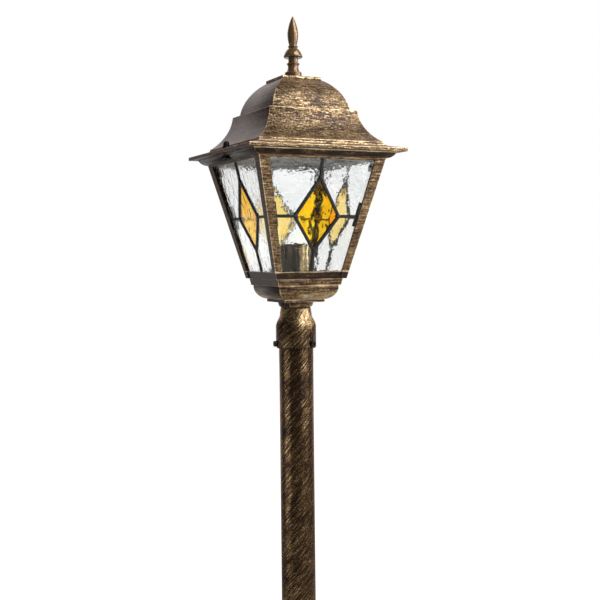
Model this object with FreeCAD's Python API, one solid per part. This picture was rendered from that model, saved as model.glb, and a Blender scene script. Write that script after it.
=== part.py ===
import FreeCAD, Part
import math
import os
from FreeCAD import Matrix, Placement, Vector

# Garden lamp post: a square leaded lantern on a round post. Origin on the ground under the post, +Z up.
# The front pane faces -Y. Driving dimensions come first, in millimetres and degrees.

# Post and the collars clamped on it
POST_DIAMETER = 42.0
POST_WALL = 1.5
POST_LENGTH = 700.0
CLAMP_FIT = 0.3
COLLAR_WALL = 3.2
COLLAR_EDGE = 1.2

# Clamp screws of the sleeve and of the foot
CLAMP_SCREW_COUNT = 3
CLAMP_SCREW_START = 55.0
CLAMP_SCREW_DIAMETER = 4.0
CLAMP_HEAD_DIAMETER = 7.0
CLAMP_HEAD_HEIGHT = 4.0
CLAMP_KEY_ACROSS = 3.0
CLAMP_KEY_DEPTH = 2.0
CLAMP_SCREW_RISE = 5.8
CLAMP_TIP_GAP = 0.1
CLAMP_SEAT_GAP = 0.1
SCREW_FIT = 0.1

# Foot
FOOT_DIAMETER = 170.0
FOOT_PLATE = 5.0
FOOT_PLATE_EDGE = 2.0
FOOT_STEP_DIAMETER = 108.0
FOOT_STEP = 3.0
FOOT_FLARE_LEDGE = 3.0
FOOT_FLARE_HEIGHT = 32.0
FOOT_FLARE_SAG = 9.0
FOOT_HEIGHT = 56.0
FOOT_SHELL = 4.0
FOOT_SEAT = 7.0
FOOT_SEAT_THICKNESS = 4.0
FOOT_CABLE_HOLE = 30.0
FOOT_SCREW_DROP = 8.0
ANCHOR_CIRCLE = 138.0
ANCHOR_HOLE = 9.0
ANCHOR_COUNT = 3
ANCHOR_START = 105.0

# Sleeve
SLEEVE_SEAT_DEPTH = 29.0
SLEEVE_HEAD = 20.0
SLEEVE_TOP_WALL = 4.0
SLEEVE_NUT_ROOM = 26.0
NECK_TOP_DIAMETER = 36.8
NECK_FOOT_DIAMETER = 38.6
NECK_HEIGHT = 6.5
NECK_WAIST_DIAMETER = 42.8
NECK_WAIST_DROP = 13.8
NECK_FLARE_DROP = 22.0
NECK_CURVE_SAG = 0.5

# Gasket between the sleeve and the tray
GASKET_THICKNESS = 1.5
GASKET_DIAMETER = 35.6
GASKET_HOLE = 14.0

# Tray under the lantern
TRAY_BOSS_DIAMETER = 43.0
TRAY_BOSS_FOOT_DIAMETER = 39.2
TRAY_BOSS_HEIGHT = 6.0
TRAY_BOSS_SAG = 0.5
TRAY_PLATE_WIDTH = 53.0
TRAY_PLATE_HEIGHT = 3.5
TRAY_BOWL_FOOT_WIDTH = 56.4
TRAY_BOWL_WIDTH = 78.3
TRAY_BOWL_HEIGHT = 16.7
TRAY_BOWL_SAG = 3.4
TRAY_STEP_WIDTH = 82.4
TRAY_TOP_WIDTH = 85.8
TRAY_STEP_HEIGHT = 8.3
TRAY_WALL = 3.0
TRAY_FLOOR = 4.0

# Cage of the lantern
FRAME_BOTTOM_WIDTH = 92.4
FRAME_TOP_WIDTH = 162.4
FRAME_HEIGHT = 140.5
FRAME_WALL = 3.0
FRAME_FLOOR = 3.0
FRAME_OPENING = 54.0
RIM_OVERHANG = 9.3
RIM_HEIGHT = 7.5
RIM_EDGE = 0.7
RIM_SAG = 1.5
CORNER_FACE_TOP = 13.0
CORNER_FACE_BOTTOM = 9.0
SILL_HEIGHT = 8.0
SILL_RECESS = 1.2
TOP_BAR_HEIGHT = 2.4
LIP_THICKNESS = 2.0
LIP_HEIGHT = 4.0

# Screws that hold the cage on the tray
FRAME_SCREW_DIAMETER = 4.0
FRAME_SCREW_SPACING = 66.0
FRAME_SCREW_LENGTH = 10.0
FRAME_SCREW_HEAD_DIAMETER = 7.6
FRAME_SCREW_HEAD_HEIGHT = 2.6
FRAME_SCREW_BOSS = 8.4
FRAME_SCREW_BOSS_HEIGHT = 10.0

# Panes, their came and their corner plates
PANE_THICKNESS = 3.0
PANE_FIT = 0.2
PANE_SEAT_GAP = 0.2
PANE_HEAD_GAP = 1.0
PANE_EDGE_GAP = 0.5
PANE_TOP_ROOM = 3.4
DIAMOND_WIDTH = 57.0
DIAMOND_LEVEL = 74.4
DIAMOND_RISE = 45.8
DIAMOND_DROP = 40.6
CAME_WIDTH = 3.2
CAME_FLANGE = 0.7
CAME_HEART = 1.0
CAME_FIT = 0.1
CAME_HEART_FIT = 0.15
CAME_END_GAP = 0.6
END_BAR_RISE = 17.0
END_BAR_DROP = 12.0
END_BAR_WIDTH = 1.6
PLATE_WIDTH = 12.0
PLATE_HEIGHT = 11.0
PLATE_THICKNESS = 1.0
PLATE_GAP = 0.2
PLATE_DROP = 14.0
PLATE_SCREW_DIAMETER = 3.0
PLATE_SCREW_HEAD_DIAMETER = 5.5
PLATE_SCREW_HEAD_HEIGHT = 2.0
PLATE_SCREW_COVER = 1.2

# Roof
EAVE_OVERHANG = 9.5
EAVE_FASCIA = 4.0
EAVE_RISE = 3.7
BEAD_INSET = 17.5
BEAD_HEIGHT = 1.2
TIER_FOOT_INSET = 3.2
TIER_FOOT_HEIGHT = 3.1
TIER_TOP_WIDTH = 113.6
TIER_HEIGHT = 38.5
TIER_SAG = 5.0
LEDGE_RISE = 0.7
DOME_FOOT_WIDTH = 100.4
DOME_TOP_WIDTH = 49.2
DOME_HEIGHT = 38.3
DOME_SAG = 5.35
CAP_PLATE_WIDTH = 50.4
CAP_PLATE_HEIGHT = 3.0
ROOF_WALL = 2.0

# Bolts in the rim's notches and the acorn nuts on the eave
ROOF_BOLT_INSET = 2.5
ROOF_BOLT_DIAMETER = 5.0
ROOF_BOLT_HOLE_FIT = 0.3
ROOF_BOLT_ACROSS = 8.0
ROOF_BOLT_HEAD_HEIGHT = 3.5
NOTCH_WIDTH = 24.0
NOTCH_ROOF = 2.2
NOTCH_HEAD_GAP = 0.7
NUT_SEAT_DIAMETER = 10.2
NUT_SEAT_SINK = 0.3
CAP_NUT_ACROSS = 8.0
CAP_NUT_HEX_HEIGHT = 4.0
CAP_NUT_HEIGHT = 10.0
CAP_NUT_DOME_DIAMETER = 7.5
CAP_NUT_BORE_DEPTH = 7.5
CAP_NUT_BORE_ROOM = 1.0
NUT_THREAD_FIT = 0.1

# Finial and what holds it
FINIAL_BASE_DIAMETER = 20.6
FINIAL_BASE_HEIGHT = 8.4
FINIAL_BASE_EDGE = 1.2
FINIAL_BASE_SAG = 0.3
FINIAL_FLARE_DIAMETER = 17.0
FINIAL_WAIST_DIAMETER = 13.4
FINIAL_WAIST_HEIGHT = 17.0
FINIAL_WAIST_SAG = 1.0
FINIAL_RING_DIAMETER = 15.6
FINIAL_RING_HEIGHT = 2.2
FINIAL_BEAD_SAG = 0.9
FINIAL_STEM_DIAMETER = 11.6
FINIAL_STEM_HEIGHT = 6.2
FINIAL_BELL_DIAMETER = 22.8
FINIAL_BELL_LIP = 2.4
FINIAL_BELL_EDGE = 1.2
FINIAL_BELL_EDGE_SAG = 0.6
FINIAL_BELL_HEIGHT = 11.8
FINIAL_BELL_TOP_DIAMETER = 10.4
FINIAL_BELL_SAG = 0.8
FINIAL_COLLAR_DIAMETER = 12.0
FINIAL_COLLAR_HEIGHT = 2.4
FINIAL_GROOVE = 0.6
FINIAL_SPEAR_FOOT_DIAMETER = 9.2
FINIAL_SPEAR_DIAMETER = 13.2
FINIAL_SPEAR_BELLY = 14.0
FINIAL_SPEAR_FOOT_SAG = 0.5
FINIAL_SPEAR_SAG = 1.0
FINIAL_SPEAR_HEIGHT = 34.1
FINIAL_TIP_DIAMETER = 1.2
FINIAL_STUD_DIAMETER = 6.0
FINIAL_STUD_FIT = 0.2
FINIAL_STUD_END = 2.0
FINIAL_WASHER_DIAMETER = 14.0
FINIAL_WASHER_THICKNESS = 1.2
FINIAL_NUT_ACROSS = 10.0
FINIAL_NUT_HEIGHT = 5.0

# Threaded tube that clamps the cup, the tray and the sleeve together
NIPPLE_DIAMETER = 10.0
NIPPLE_BORE = 7.5
NIPPLE_FIT = 0.25
NIPPLE_END = 1.5
NIPPLE_NUT_ACROSS = 14.0
NIPPLE_NUT_HEIGHT = 3.0
NIPPLE_WASHER_DIAMETER = 16.0
NIPPLE_WASHER_THICKNESS = 1.0

# Lamp holder
CUP_DIAMETER = 41.0
CUP_HEIGHT = 66.5
CUP_WALL = 0.8
CUP_FLOOR = 1.0
CUP_CORNER = 4.0
CUP_BEAD = 1.6
EARTH_TAG_DIAMETER = 17.0
EARTH_TAG_THICKNESS = 0.8
EARTH_TAG_REACH = 13.2
EARTH_TAG_ANGLE = 45.0
EARTH_TAG_WIDTH = 6.0
EARTH_CRIMP_DIAMETER = 3.6
EARTH_CRIMP_HEIGHT = 4.4
BRACKET_WIDTH = 14.0
BRACKET_SPAN = 28.0
BRACKET_SHEET = 1.2
BRACKET_HEIGHT = 26.5
BRACKET_FOOT = 9.5
SOCKET_DIAMETER = 36.0
SOCKET_RIM_DROP = 1.0
SOCKET_BASE = 12.0
SOCKET_CAVITY = 29.2
SOCKET_EDGE = 1.5
SOCKET_EDGE_SAG = 0.3
SHELL_INSIDE_DIAMETER = 26.6
SHELL_WALL = 0.5
SHELL_FLANGE_HOLE = 21.0
SHELL_LEDGE = 4.2
SHELL_RIM_DROP = 1.2
HOLDER_SCREW_DIAMETER = 3.0
HOLDER_SCREW_SPACING = 14.4
HOLDER_SCREW_HEAD_DIAMETER = 5.2
HOLDER_SCREW_HEAD_HEIGHT = 1.8
HOLDER_SCREW_END = 2.0
CONTACT_WIDTH = 7.0
CONTACT_SHEET = 0.6
CONTACT_ROOT_DIAMETER = 1.6
CONTACT_ROOT_OFFSET = 8.0
CONTACT_GAP = 0.3
CONTACT_CREST_START = 1.0
CONTACT_CREST_END = -2.0
CONTACT_TIP = -5.0
CONTACT_RISE = 2.4
CONTACT_TIP_DROP = 0.9
TERMINAL_SPACING = 19.0
TERMINAL_WIDTH = 6.0
TERMINAL_DEPTH = 5.0
TERMINAL_HEIGHT = 6.0
TERMINAL_POCKET = 2.0
TERMINAL_BORE_DEPTH = 5.0
TERMINAL_FIT = 0.1

# Wires and the terminal block in the post's top
WIRE_DIAMETER = 2.0
WIRE_ORBIT = 1.5
WIRE_FIT = 0.1
WIRE_BEND_SHARE = 0.45
WIRE_LEAD = 4.0
WIRE_TURN = 2.0
WIRE_GATHER_DROP = 9.0
EARTH_WIRE_RISE = 5.0
EARTH_WIRE_RISE_SHARE = 0.33
EARTH_WIRE_FALL_SHARE = 0.75
BLOCK_PITCH = 8.5
BLOCK_WIDTH = 27.0
BLOCK_DEPTH = 16.0
BLOCK_HEIGHT = 22.0
BLOCK_DROP = 57.0
BLOCK_BORE = 3.2
BLOCK_RIB = 2.0
BLOCK_RIB_DEPTH = 3.0
BLOCK_ENTRY = 6.0
BLOCK_SCREW_DIAMETER = 3.4
BLOCK_SCREW_OFFSET = 6.0
BLOCK_SCREW_FIT = 0.1
BLOCK_SCREW_TIP_GAP = 0.1
BLOCK_SCREW_SUNK = 0.8

# Heights of the stack, from the ground up
z_post = FOOT_SEAT
z_post_top = z_post + POST_LENGTH
z_sleeve = z_post_top - SLEEVE_SEAT_DEPTH
z_sleeve_top = z_post_top + SLEEVE_HEAD
z_boss = z_sleeve_top + GASKET_THICKNESS
z_tray = z_boss + TRAY_BOSS_HEIGHT
z_bowl = z_tray + TRAY_PLATE_HEIGHT
z_step = z_bowl + TRAY_BOWL_HEIGHT
z_frame = z_step + TRAY_STEP_HEIGHT
z_rim = z_frame + FRAME_HEIGHT
z_eave = z_rim + RIM_HEIGHT
z_fascia = z_eave + EAVE_FASCIA
z_bead = z_fascia + EAVE_RISE
z_tier = z_bead + BEAD_HEIGHT
z_flare = z_tier + TIER_FOOT_HEIGHT
z_ledge = z_flare + TIER_HEIGHT
z_dome = z_ledge + LEDGE_RISE
z_cap = z_dome + DOME_HEIGHT
z_finial = z_cap + CAP_PLATE_HEIGHT

# Heights inside the lamp holder
z_cup = z_tray + TRAY_FLOOR
z_tag = z_cup + CUP_FLOOR
z_bracket = z_tag + EARTH_TAG_THICKNESS
z_upper_washer = z_bracket + BRACKET_SHEET
z_upper_nut = z_upper_washer + NIPPLE_WASHER_THICKNESS
z_nipple_top = z_upper_nut + NIPPLE_NUT_HEIGHT + NIPPLE_END
z_socket = z_bracket + BRACKET_HEIGHT
z_cavity = z_socket + SOCKET_BASE
z_socket_top = z_cup + CUP_HEIGHT - SOCKET_RIM_DROP
z_lower_washer = z_sleeve_top - SLEEVE_TOP_WALL - NIPPLE_WASHER_THICKNESS
z_lower_nut = z_lower_washer - NIPPLE_NUT_HEIGHT
z_nipple = z_lower_nut - NIPPLE_END
z_block = z_post_top - BLOCK_DROP

# Radii and half-widths
post_radius = POST_DIAMETER / 2
collar_bore = post_radius + CLAMP_FIT
collar_radius = collar_bore + COLLAR_WALL
frame_bottom = FRAME_BOTTOM_WIDTH / 2
frame_top = FRAME_TOP_WIDTH / 2
rim_half = frame_top + RIM_OVERHANG
eave_half = rim_half + EAVE_OVERHANG
bead_half = eave_half - BEAD_INSET
tier_half = bead_half - TIER_FOOT_INSET
bolt_offset = rim_half - ROOF_BOLT_INSET
nipple_hole = NIPPLE_DIAMETER / 2 + NIPPLE_FIT

# Lean of the lantern's sides
frame_slope = (frame_top - frame_bottom) / FRAME_HEIGHT
lean_sin = frame_slope / math.hypot(1, frame_slope)
lean_cos = 1 / math.hypot(1, frame_slope)

# Depths of a pane behind the outer face of its side, and its lower and upper edge up the slope
pane_outer = FRAME_WALL + PANE_FIT
pane_inner = pane_outer + PANE_THICKNESS
pane_bottom = (FRAME_FLOOR + PANE_SEAT_GAP - pane_outer * lean_sin) / lean_cos
pane_top = (FRAME_HEIGHT + RIM_HEIGHT - PANE_HEAD_GAP - pane_inner * lean_sin) / lean_cos
window_bottom = SILL_HEIGHT / lean_cos
window_top = (FRAME_HEIGHT - TOP_BAR_HEIGHT) / lean_cos
came_inner = pane_inner + CAME_FIT + CAME_FLANGE
came_outer = pane_outer - CAME_FIT - CAME_FLANGE

SIDES = ("front", "right", "back", "left")
UP = Vector(0, 0, 1)


def at(r, z):
    return Vector(r, 0, z)


def path_edges(points):
    """Edges through (r, z) points; a third number bends the edge that ends there, left of its way."""
    edges = []
    for here, there in zip(points, points[1:]):
        start = at(*here[:2])
        end = at(*there[:2])
        if len(there) == 3:
            run = end - start
            left = Vector(-run.z, 0, run.x).normalize()
            middle = (start + end) * 0.5 + left * there[2]
            edges.append(Part.Arc(start, middle, end).toShape())
        else:
            edges.append(Part.LineSegment(start, end).toShape())
    return edges


def turned(*points):
    """Solid of revolution of a closed outline about the post's axis."""
    wire = Part.Wire(path_edges(points + points[:1]))
    return Part.Face(wire).revolve(Vector(), UP, 360)


def squared(*points):
    """Four-sided solid with mitred corners, from half an outline that starts and ends on the axis."""
    half = path_edges(points)
    mirrored = [edge.mirror(Vector(), Vector(1, 0, 0)) for edge in half]
    face = Part.Face(Part.Wire(Part.__sortEdges__(half + mirrored)))
    reach = face.BoundBox.XMax + 1
    face.translate(Vector(0, -reach, 0))
    prism = face.extrude(Vector(0, 2 * reach, 0))
    return prism.common(spun(prism, 90)).removeSplitter()


def rod(radius, z_low, z_high, x=0, y=0):
    return Part.makeCylinder(radius, z_high - z_low, Vector(x, y, z_low))


def ring(outer, inner, z_low, z_high):
    return rod(outer, z_low, z_high).cut(rod(inner, z_low, z_high))


def block(width, depth, z_low, z_high, x=0, y=0):
    corner = Vector(x - width / 2, y - depth / 2, z_low)
    return Part.makeBox(width, depth, z_high - z_low, corner)


def hexagon(across_flats, z_low, z_high, x=0, y=0):
    radius = across_flats / math.sqrt(3)
    corners = [Vector(x + radius * math.cos(math.radians(60 * i)),
                      y + radius * math.sin(math.radians(60 * i)), z_low) for i in range(7)]
    return Part.Face(Part.makePolygon(corners)).extrude(Vector(0, 0, z_high - z_low))


def slab(points, low, high):
    """Flat-sided plate over a polygon of (across, up) points, between two depths along its own Z."""
    corners = [Vector(across, up, low) for across, up in points]
    return Part.Face(Part.makePolygon(corners + corners[:1])).extrude(Vector(0, 0, high - low))


def strip(points, width):
    """Bent strip with an outline of (r, z) points, centred on the XZ plane."""
    corners = [Vector(r, -width / 2, z) for r, z in points]
    return Part.Face(Part.makePolygon(corners + corners[:1])).extrude(Vector(0, width, 0))


def spun(shape, angle):
    turned_shape = shape.copy()
    turned_shape.rotate(Vector(), UP, angle)
    return turned_shape


def around(shape, count, start=0.0):
    return [spun(shape, start + 360 * i / count) for i in range(count)]


def placed(shape, across, up, out, origin):
    """Copy of a shape whose X, Y and Z axes become the three given directions at a new origin."""
    frame = Matrix(across.x, up.x, out.x, origin.x,
                   across.y, up.y, out.y, origin.y,
                   across.z, up.z, out.z, origin.z,
                   0, 0, 0, 1)
    moved = shape.copy()
    moved.Placement = Placement(frame).multiply(shape.Placement)
    return moved


def frame_half(z):
    """Half the outer width of the lantern's sloping sides at a height."""
    return frame_bottom + frame_slope * (z - z_frame)


def side_height(up, depth):
    """Height of a point that lies up the slope of a side and behind its outer face."""
    return z_frame + up * lean_cos + depth * lean_sin


SIDE_ORIGIN = Vector(0, -frame_bottom, z_frame)
SIDE_ACROSS = Vector(1, 0, 0)
SIDE_UP = Vector(0, -lean_sin, lean_cos)
SIDE_OUT = Vector(0, -lean_cos, -lean_sin)


def on_front(shape):
    """Shape drawn flat as (across, up the slope, outward), set on the front side of the lantern."""
    return placed(shape, SIDE_ACROSS, SIDE_UP, SIDE_OUT, SIDE_ORIGIN)


corner_length = math.sqrt(1 + 2 * frame_slope ** 2)
CORNER_ORIGIN = Vector(-frame_bottom, -frame_bottom, z_frame)
CORNER_ACROSS = Vector(1, -1, 0).normalize()
CORNER_UP = Vector(-frame_slope, -frame_slope, 1) * (1 / corner_length)
CORNER_OUT = CORNER_ACROSS.cross(CORNER_UP)


def on_corner(shape):
    """Shape drawn flat as (across, up the arris, outward), set on the front left corner."""
    return placed(shape, CORNER_ACROSS, CORNER_UP, CORNER_OUT, CORNER_ORIGIN)


def window_half(up):
    """Half the width of a window at a distance up the slope."""
    low = frame_half(side_height(window_bottom, 0)) - CORNER_FACE_BOTTOM
    high = frame_half(side_height(window_top, 0)) - CORNER_FACE_TOP
    return low + (high - low) * (up - window_bottom) / (window_top - window_bottom)


def pane_half(up):
    """Half the width of a pane at a distance up the slope; it draws in towards the top."""
    low = frame_half(side_height(pane_bottom, pane_outer)) - pane_inner / lean_cos - PANE_EDGE_GAP
    high = frame_half(side_height(pane_top, pane_outer)) - pane_inner / lean_cos - PANE_EDGE_GAP
    share = (up - pane_bottom) / (pane_top - pane_bottom)
    return low + (high - PANE_TOP_ROOM - low) * share


def trapezium(half_width, low, high):
    return [(-half_width(low), low), (half_width(low), low),
            (half_width(high), high), (-half_width(high), high)]


def post_tube():
    return ring(post_radius, post_radius - POST_WALL, z_post, z_post_top)


def clamp_screw(z):
    """Socket-head screw along +X, its tip against the post and its head on the collar."""
    tip = post_radius + CLAMP_TIP_GAP
    seat = collar_radius + CLAMP_SEAT_GAP
    end = seat + CLAMP_HEAD_HEIGHT
    across = Vector(1, 0, 0)
    shank = Part.makeCylinder(CLAMP_SCREW_DIAMETER / 2, seat - tip, Vector(tip, 0, z), across)
    head = Part.makeCylinder(CLAMP_HEAD_DIAMETER / 2, CLAMP_HEAD_HEIGHT, Vector(seat, 0, z), across)
    key = hexagon(CLAMP_KEY_ACROSS, 0, CLAMP_KEY_DEPTH)
    key.rotate(Vector(), Vector(0, 1, 0), 90)
    key.translate(Vector(end - CLAMP_KEY_DEPTH, 0, z))
    return shank.fuse(head).cut(key)


def clamp_holes(z):
    radius = CLAMP_SCREW_DIAMETER / 2 + SCREW_FIT
    hole = Part.makeCylinder(radius, 2 * collar_radius, Vector(0, 0, z), Vector(1, 0, 0))
    return around(hole, CLAMP_SCREW_COUNT, CLAMP_SCREW_START)


def clamp_screws(z):
    return around(clamp_screw(z), CLAMP_SCREW_COUNT, CLAMP_SCREW_START)


def foot():
    """Cast foot: round plate, flared bell and a collar for the post, hollow underneath."""
    step = FOOT_STEP_DIAMETER / 2
    z_step_top = FOOT_PLATE + FOOT_STEP
    z_collar = z_step_top + FOOT_FLARE_HEIGHT
    edge = FOOT_DIAMETER / 2
    body = turned(
        (0, 0), (edge, 0), (edge, FOOT_PLATE - FOOT_PLATE_EDGE),
        (edge - FOOT_PLATE_EDGE, FOOT_PLATE), (step, FOOT_PLATE), (step, z_step_top),
        (step - FOOT_FLARE_LEDGE, z_step_top), (collar_radius, z_collar, FOOT_FLARE_SAG),
        (collar_radius, FOOT_HEIGHT - COLLAR_EDGE), (collar_radius - COLLAR_EDGE, FOOT_HEIGHT),
        (0, FOOT_HEIGHT))
    bell = step - FOOT_FLARE_LEDGE - FOOT_SHELL
    hollow = turned(
        (0, 0), (bell, 0), (bell, z_step_top - FOOT_SHELL),
        (collar_radius - FOOT_SHELL, z_collar - FOOT_SHELL, FOOT_FLARE_SAG),
        (0, z_collar - FOOT_SHELL))
    skirt = rod(collar_radius, FOOT_SEAT - FOOT_SEAT_THICKNESS, z_collar)
    bore = rod(collar_bore, FOOT_SEAT, FOOT_HEIGHT)
    cable_hole = rod(FOOT_CABLE_HOLE / 2, 0, FOOT_HEIGHT)
    anchor = rod(ANCHOR_HOLE / 2, 0, FOOT_PLATE, x=ANCHOR_CIRCLE / 2)
    holes = [bore, cable_hole] + around(anchor, ANCHOR_COUNT, ANCHOR_START)
    holes += clamp_holes(FOOT_HEIGHT - FOOT_SCREW_DROP)
    return body.cut(hollow.cut(skirt)).cut(holes).removeSplitter()


def post_sleeve():
    """Flared neck over the post's top; the post stops at the shoulder under its nut room."""
    top = z_sleeve_top
    body = turned(
        (0, z_sleeve), (collar_radius - COLLAR_EDGE, z_sleeve), (collar_radius, z_sleeve + COLLAR_EDGE),
        (collar_radius, top - NECK_FLARE_DROP),
        (NECK_WAIST_DIAMETER / 2, top - NECK_WAIST_DROP, -NECK_CURVE_SAG),
        (NECK_FOOT_DIAMETER / 2, top - NECK_HEIGHT, NECK_CURVE_SAG),
        (NECK_TOP_DIAMETER / 2, top), (0, top))
    holes = [
        rod(collar_bore, z_sleeve, z_post_top),
        rod(SLEEVE_NUT_ROOM / 2, z_sleeve, top - SLEEVE_TOP_WALL),
        rod(nipple_hole, z_sleeve, top)]
    return body.cut(holes + clamp_holes(z_sleeve + CLAMP_SCREW_RISE))


def neck_gasket():
    return ring(GASKET_DIAMETER / 2, GASKET_HOLE / 2, z_sleeve_top, z_boss)


def lantern_tray():
    """Stepped square tray with a quarter-round bowl on a round boss, hollow from above."""
    boss = turned(
        (0, z_boss), (TRAY_BOSS_FOOT_DIAMETER / 2, z_boss), (TRAY_BOSS_DIAMETER / 2, z_tray, -TRAY_BOSS_SAG),
        (0, z_tray))
    plate = TRAY_PLATE_WIDTH / 2
    bowl_foot = TRAY_BOWL_FOOT_WIDTH / 2
    bowl = TRAY_BOWL_WIDTH / 2
    step = TRAY_STEP_WIDTH / 2
    top = TRAY_TOP_WIDTH / 2
    body = squared(
        (0, z_tray), (plate, z_tray), (plate, z_bowl), (bowl_foot, z_bowl),
        (bowl, z_step, -TRAY_BOWL_SAG), (step, z_step), (top, z_frame), (0, z_frame))
    hollow = squared(
        (0, z_cup), (bowl_foot - TRAY_WALL, z_cup), (bowl - TRAY_WALL, z_step, -TRAY_BOWL_SAG),
        (top - TRAY_WALL, z_frame), (0, z_frame))
    offset = FRAME_SCREW_SPACING / 2
    screw_boss = rod(FRAME_SCREW_BOSS / 2, z_frame - FRAME_SCREW_BOSS_HEIGHT, z_frame, offset, offset)
    tapped = rod(FRAME_SCREW_DIAMETER / 2 + SCREW_FIT, z_frame - FRAME_SCREW_LENGTH + FRAME_FLOOR,
                 z_frame, offset, offset)
    shell = body.cut(hollow).fuse([boss] + [part.common(body) for part in around(screw_boss, 4)])
    return shell.cut([rod(nipple_hole, z_boss, z_frame)] + around(tapped, 4)).removeSplitter()


def frame_screws():
    offset = FRAME_SCREW_SPACING / 2
    seat = z_frame + FRAME_FLOOR
    shank = rod(FRAME_SCREW_DIAMETER / 2, seat - FRAME_SCREW_LENGTH, seat, offset, offset)
    head = rod(FRAME_SCREW_HEAD_DIAMETER / 2, seat, seat + FRAME_SCREW_HEAD_HEIGHT, offset, offset)
    return around(shank.fuse(head), 4)


def lantern_frame():
    """Cage casting: ovolo rim, four tapered corner posts, recessed sill and a floor for the panes."""
    z_floor = z_frame + FRAME_FLOOR
    wall = FRAME_WALL / lean_cos
    body = squared(
        (0, z_frame), (frame_bottom, z_frame), (frame_top, z_rim),
        (rim_half, z_eave - RIM_EDGE, -RIM_SAG), (rim_half, z_eave), (0, z_eave))
    hollow = squared(
        (0, z_floor), (frame_half(z_floor) - wall, z_floor), (frame_half(z_eave) - wall, z_eave),
        (0, z_eave))
    lip_outer = 2 * (frame_half(z_floor) - (came_inner + CAME_FIT) / lean_cos)
    lip_inner = lip_outer - 2 * LIP_THICKNESS
    z_lip = z_floor + LIP_HEIGHT
    lip = block(lip_outer, lip_outer, z_floor, z_lip).cut(block(lip_inner, lip_inner, z_floor, z_lip))
    window = slab(trapezium(window_half, window_bottom, window_top), -2 * FRAME_WALL, FRAME_WALL)
    recess = slab(trapezium(window_half, 0, window_bottom), -SILL_RECESS, FRAME_WALL)
    recess_foot = slab(trapezium(window_half, -FRAME_WALL, 0), -SILL_RECESS, FRAME_WALL)
    cuts = around(on_front(window), 4) + around(on_front(recess.fuse(recess_foot)), 4)
    cuts.append(block(FRAME_OPENING, FRAME_OPENING, z_frame, z_floor))
    offset = FRAME_SCREW_SPACING / 2
    cuts += around(rod(FRAME_SCREW_DIAMETER / 2 + SCREW_FIT, z_frame, z_floor, offset, offset), 4)
    cuts += around(on_corner(plate_screw_hole()), 4)
    cuts += around(bolt_notch(), 2)
    return body.cut(hollow).fuse(lip).cut(cuts).removeSplitter()


def bolt_notch():
    """Notch in the rim's right side: room for the bolt's head and an open slot for its shank."""
    inside = bolt_offset - ROOF_BOLT_ACROSS / math.sqrt(3) - NOTCH_HEAD_GAP
    room = Part.makeBox(rim_half - inside, NOTCH_WIDTH, RIM_HEIGHT - NOTCH_ROOF,
                        Vector(inside, -NOTCH_WIDTH / 2, z_rim))
    slot_radius = ROOF_BOLT_DIAMETER / 2 + ROOF_BOLT_HOLE_FIT
    slot = rod(slot_radius, z_rim, z_eave, bolt_offset)
    mouth = Part.makeBox(rim_half - bolt_offset, 2 * slot_radius, z_eave - z_rim,
                         Vector(bolt_offset, -slot_radius, z_rim))
    return room.fuse([slot, mouth])


def nut_seat_height():
    """Height of the flat seat sunk into the eave's slope under an acorn nut."""
    outer_edge = bolt_offset + NUT_SEAT_DIAMETER / 2
    share = (eave_half - outer_edge) / (eave_half - bead_half)
    return z_fascia + EAVE_RISE * share - NUT_SEAT_SINK


def roof_bolts():
    z_head = z_eave - NOTCH_ROOF
    head = hexagon(ROOF_BOLT_ACROSS, z_head - ROOF_BOLT_HEAD_HEIGHT, z_head, bolt_offset)
    end = nut_seat_height() + CAP_NUT_BORE_DEPTH - CAP_NUT_BORE_ROOM
    shank = rod(ROOF_BOLT_DIAMETER / 2, z_head, end, bolt_offset)
    return around(head.fuse(shank), 2)


def cap_nut(side):
    """Acorn nut on the eave: hexagon with a domed cap and a blind bore; side is -1 or 1."""
    x = side * bolt_offset
    seat = nut_seat_height()
    z_hex = seat + CAP_NUT_HEX_HEIGHT
    z_top = seat + CAP_NUT_HEIGHT
    dome_radius = CAP_NUT_DOME_DIAMETER / 2
    shoulder = z_top - dome_radius
    dome = turned((0, z_hex), (dome_radius, z_hex), (dome_radius, shoulder),
                  (0, z_top, -dome_radius * (1 - math.sqrt(0.5))))
    dome.translate(Vector(x, 0, 0))
    bore = rod(ROOF_BOLT_DIAMETER / 2 + NUT_THREAD_FIT, seat, seat + CAP_NUT_BORE_DEPTH, x)
    return hexagon(CAP_NUT_ACROSS, seat, z_hex, x).fuse(dome).cut(bore)


def roof():
    """Ogee roof shell: eave, concave lower tier, convex dome and a small cap plate."""
    tier_top = TIER_TOP_WIDTH / 2
    dome = DOME_FOOT_WIDTH / 2
    dome_top = DOME_TOP_WIDTH / 2
    cap = CAP_PLATE_WIDTH / 2
    body = squared(
        (0, z_eave), (eave_half, z_eave), (eave_half, z_fascia), (bead_half, z_bead), (bead_half, z_tier),
        (tier_half, z_tier), (tier_half, z_flare), (tier_top, z_ledge, TIER_SAG), (dome, z_dome),
        (dome_top, z_cap, -DOME_SAG), (cap, z_cap), (cap, z_finial), (0, z_finial))
    wall = ROOF_WALL
    hollow = squared(
        (0, z_eave), (tier_half - wall, z_eave), (tier_half - wall, z_flare - wall),
        (tier_top - wall, z_ledge - wall, TIER_SAG), (dome - wall, z_dome - wall),
        (dome_top - wall, z_cap - wall, -DOME_SAG), (0, z_cap - wall))
    bolt_hole = rod(ROOF_BOLT_DIAMETER / 2 + ROOF_BOLT_HOLE_FIT, z_eave, z_bead, bolt_offset)
    seat = rod(NUT_SEAT_DIAMETER / 2, nut_seat_height(), z_bead, bolt_offset)
    stud_hole = rod(FINIAL_STUD_DIAMETER / 2 + FINIAL_STUD_FIT, z_cap - wall, z_finial)
    return body.cut(hollow).cut([stud_hole] + around(bolt_hole.fuse(seat), 2))


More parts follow.
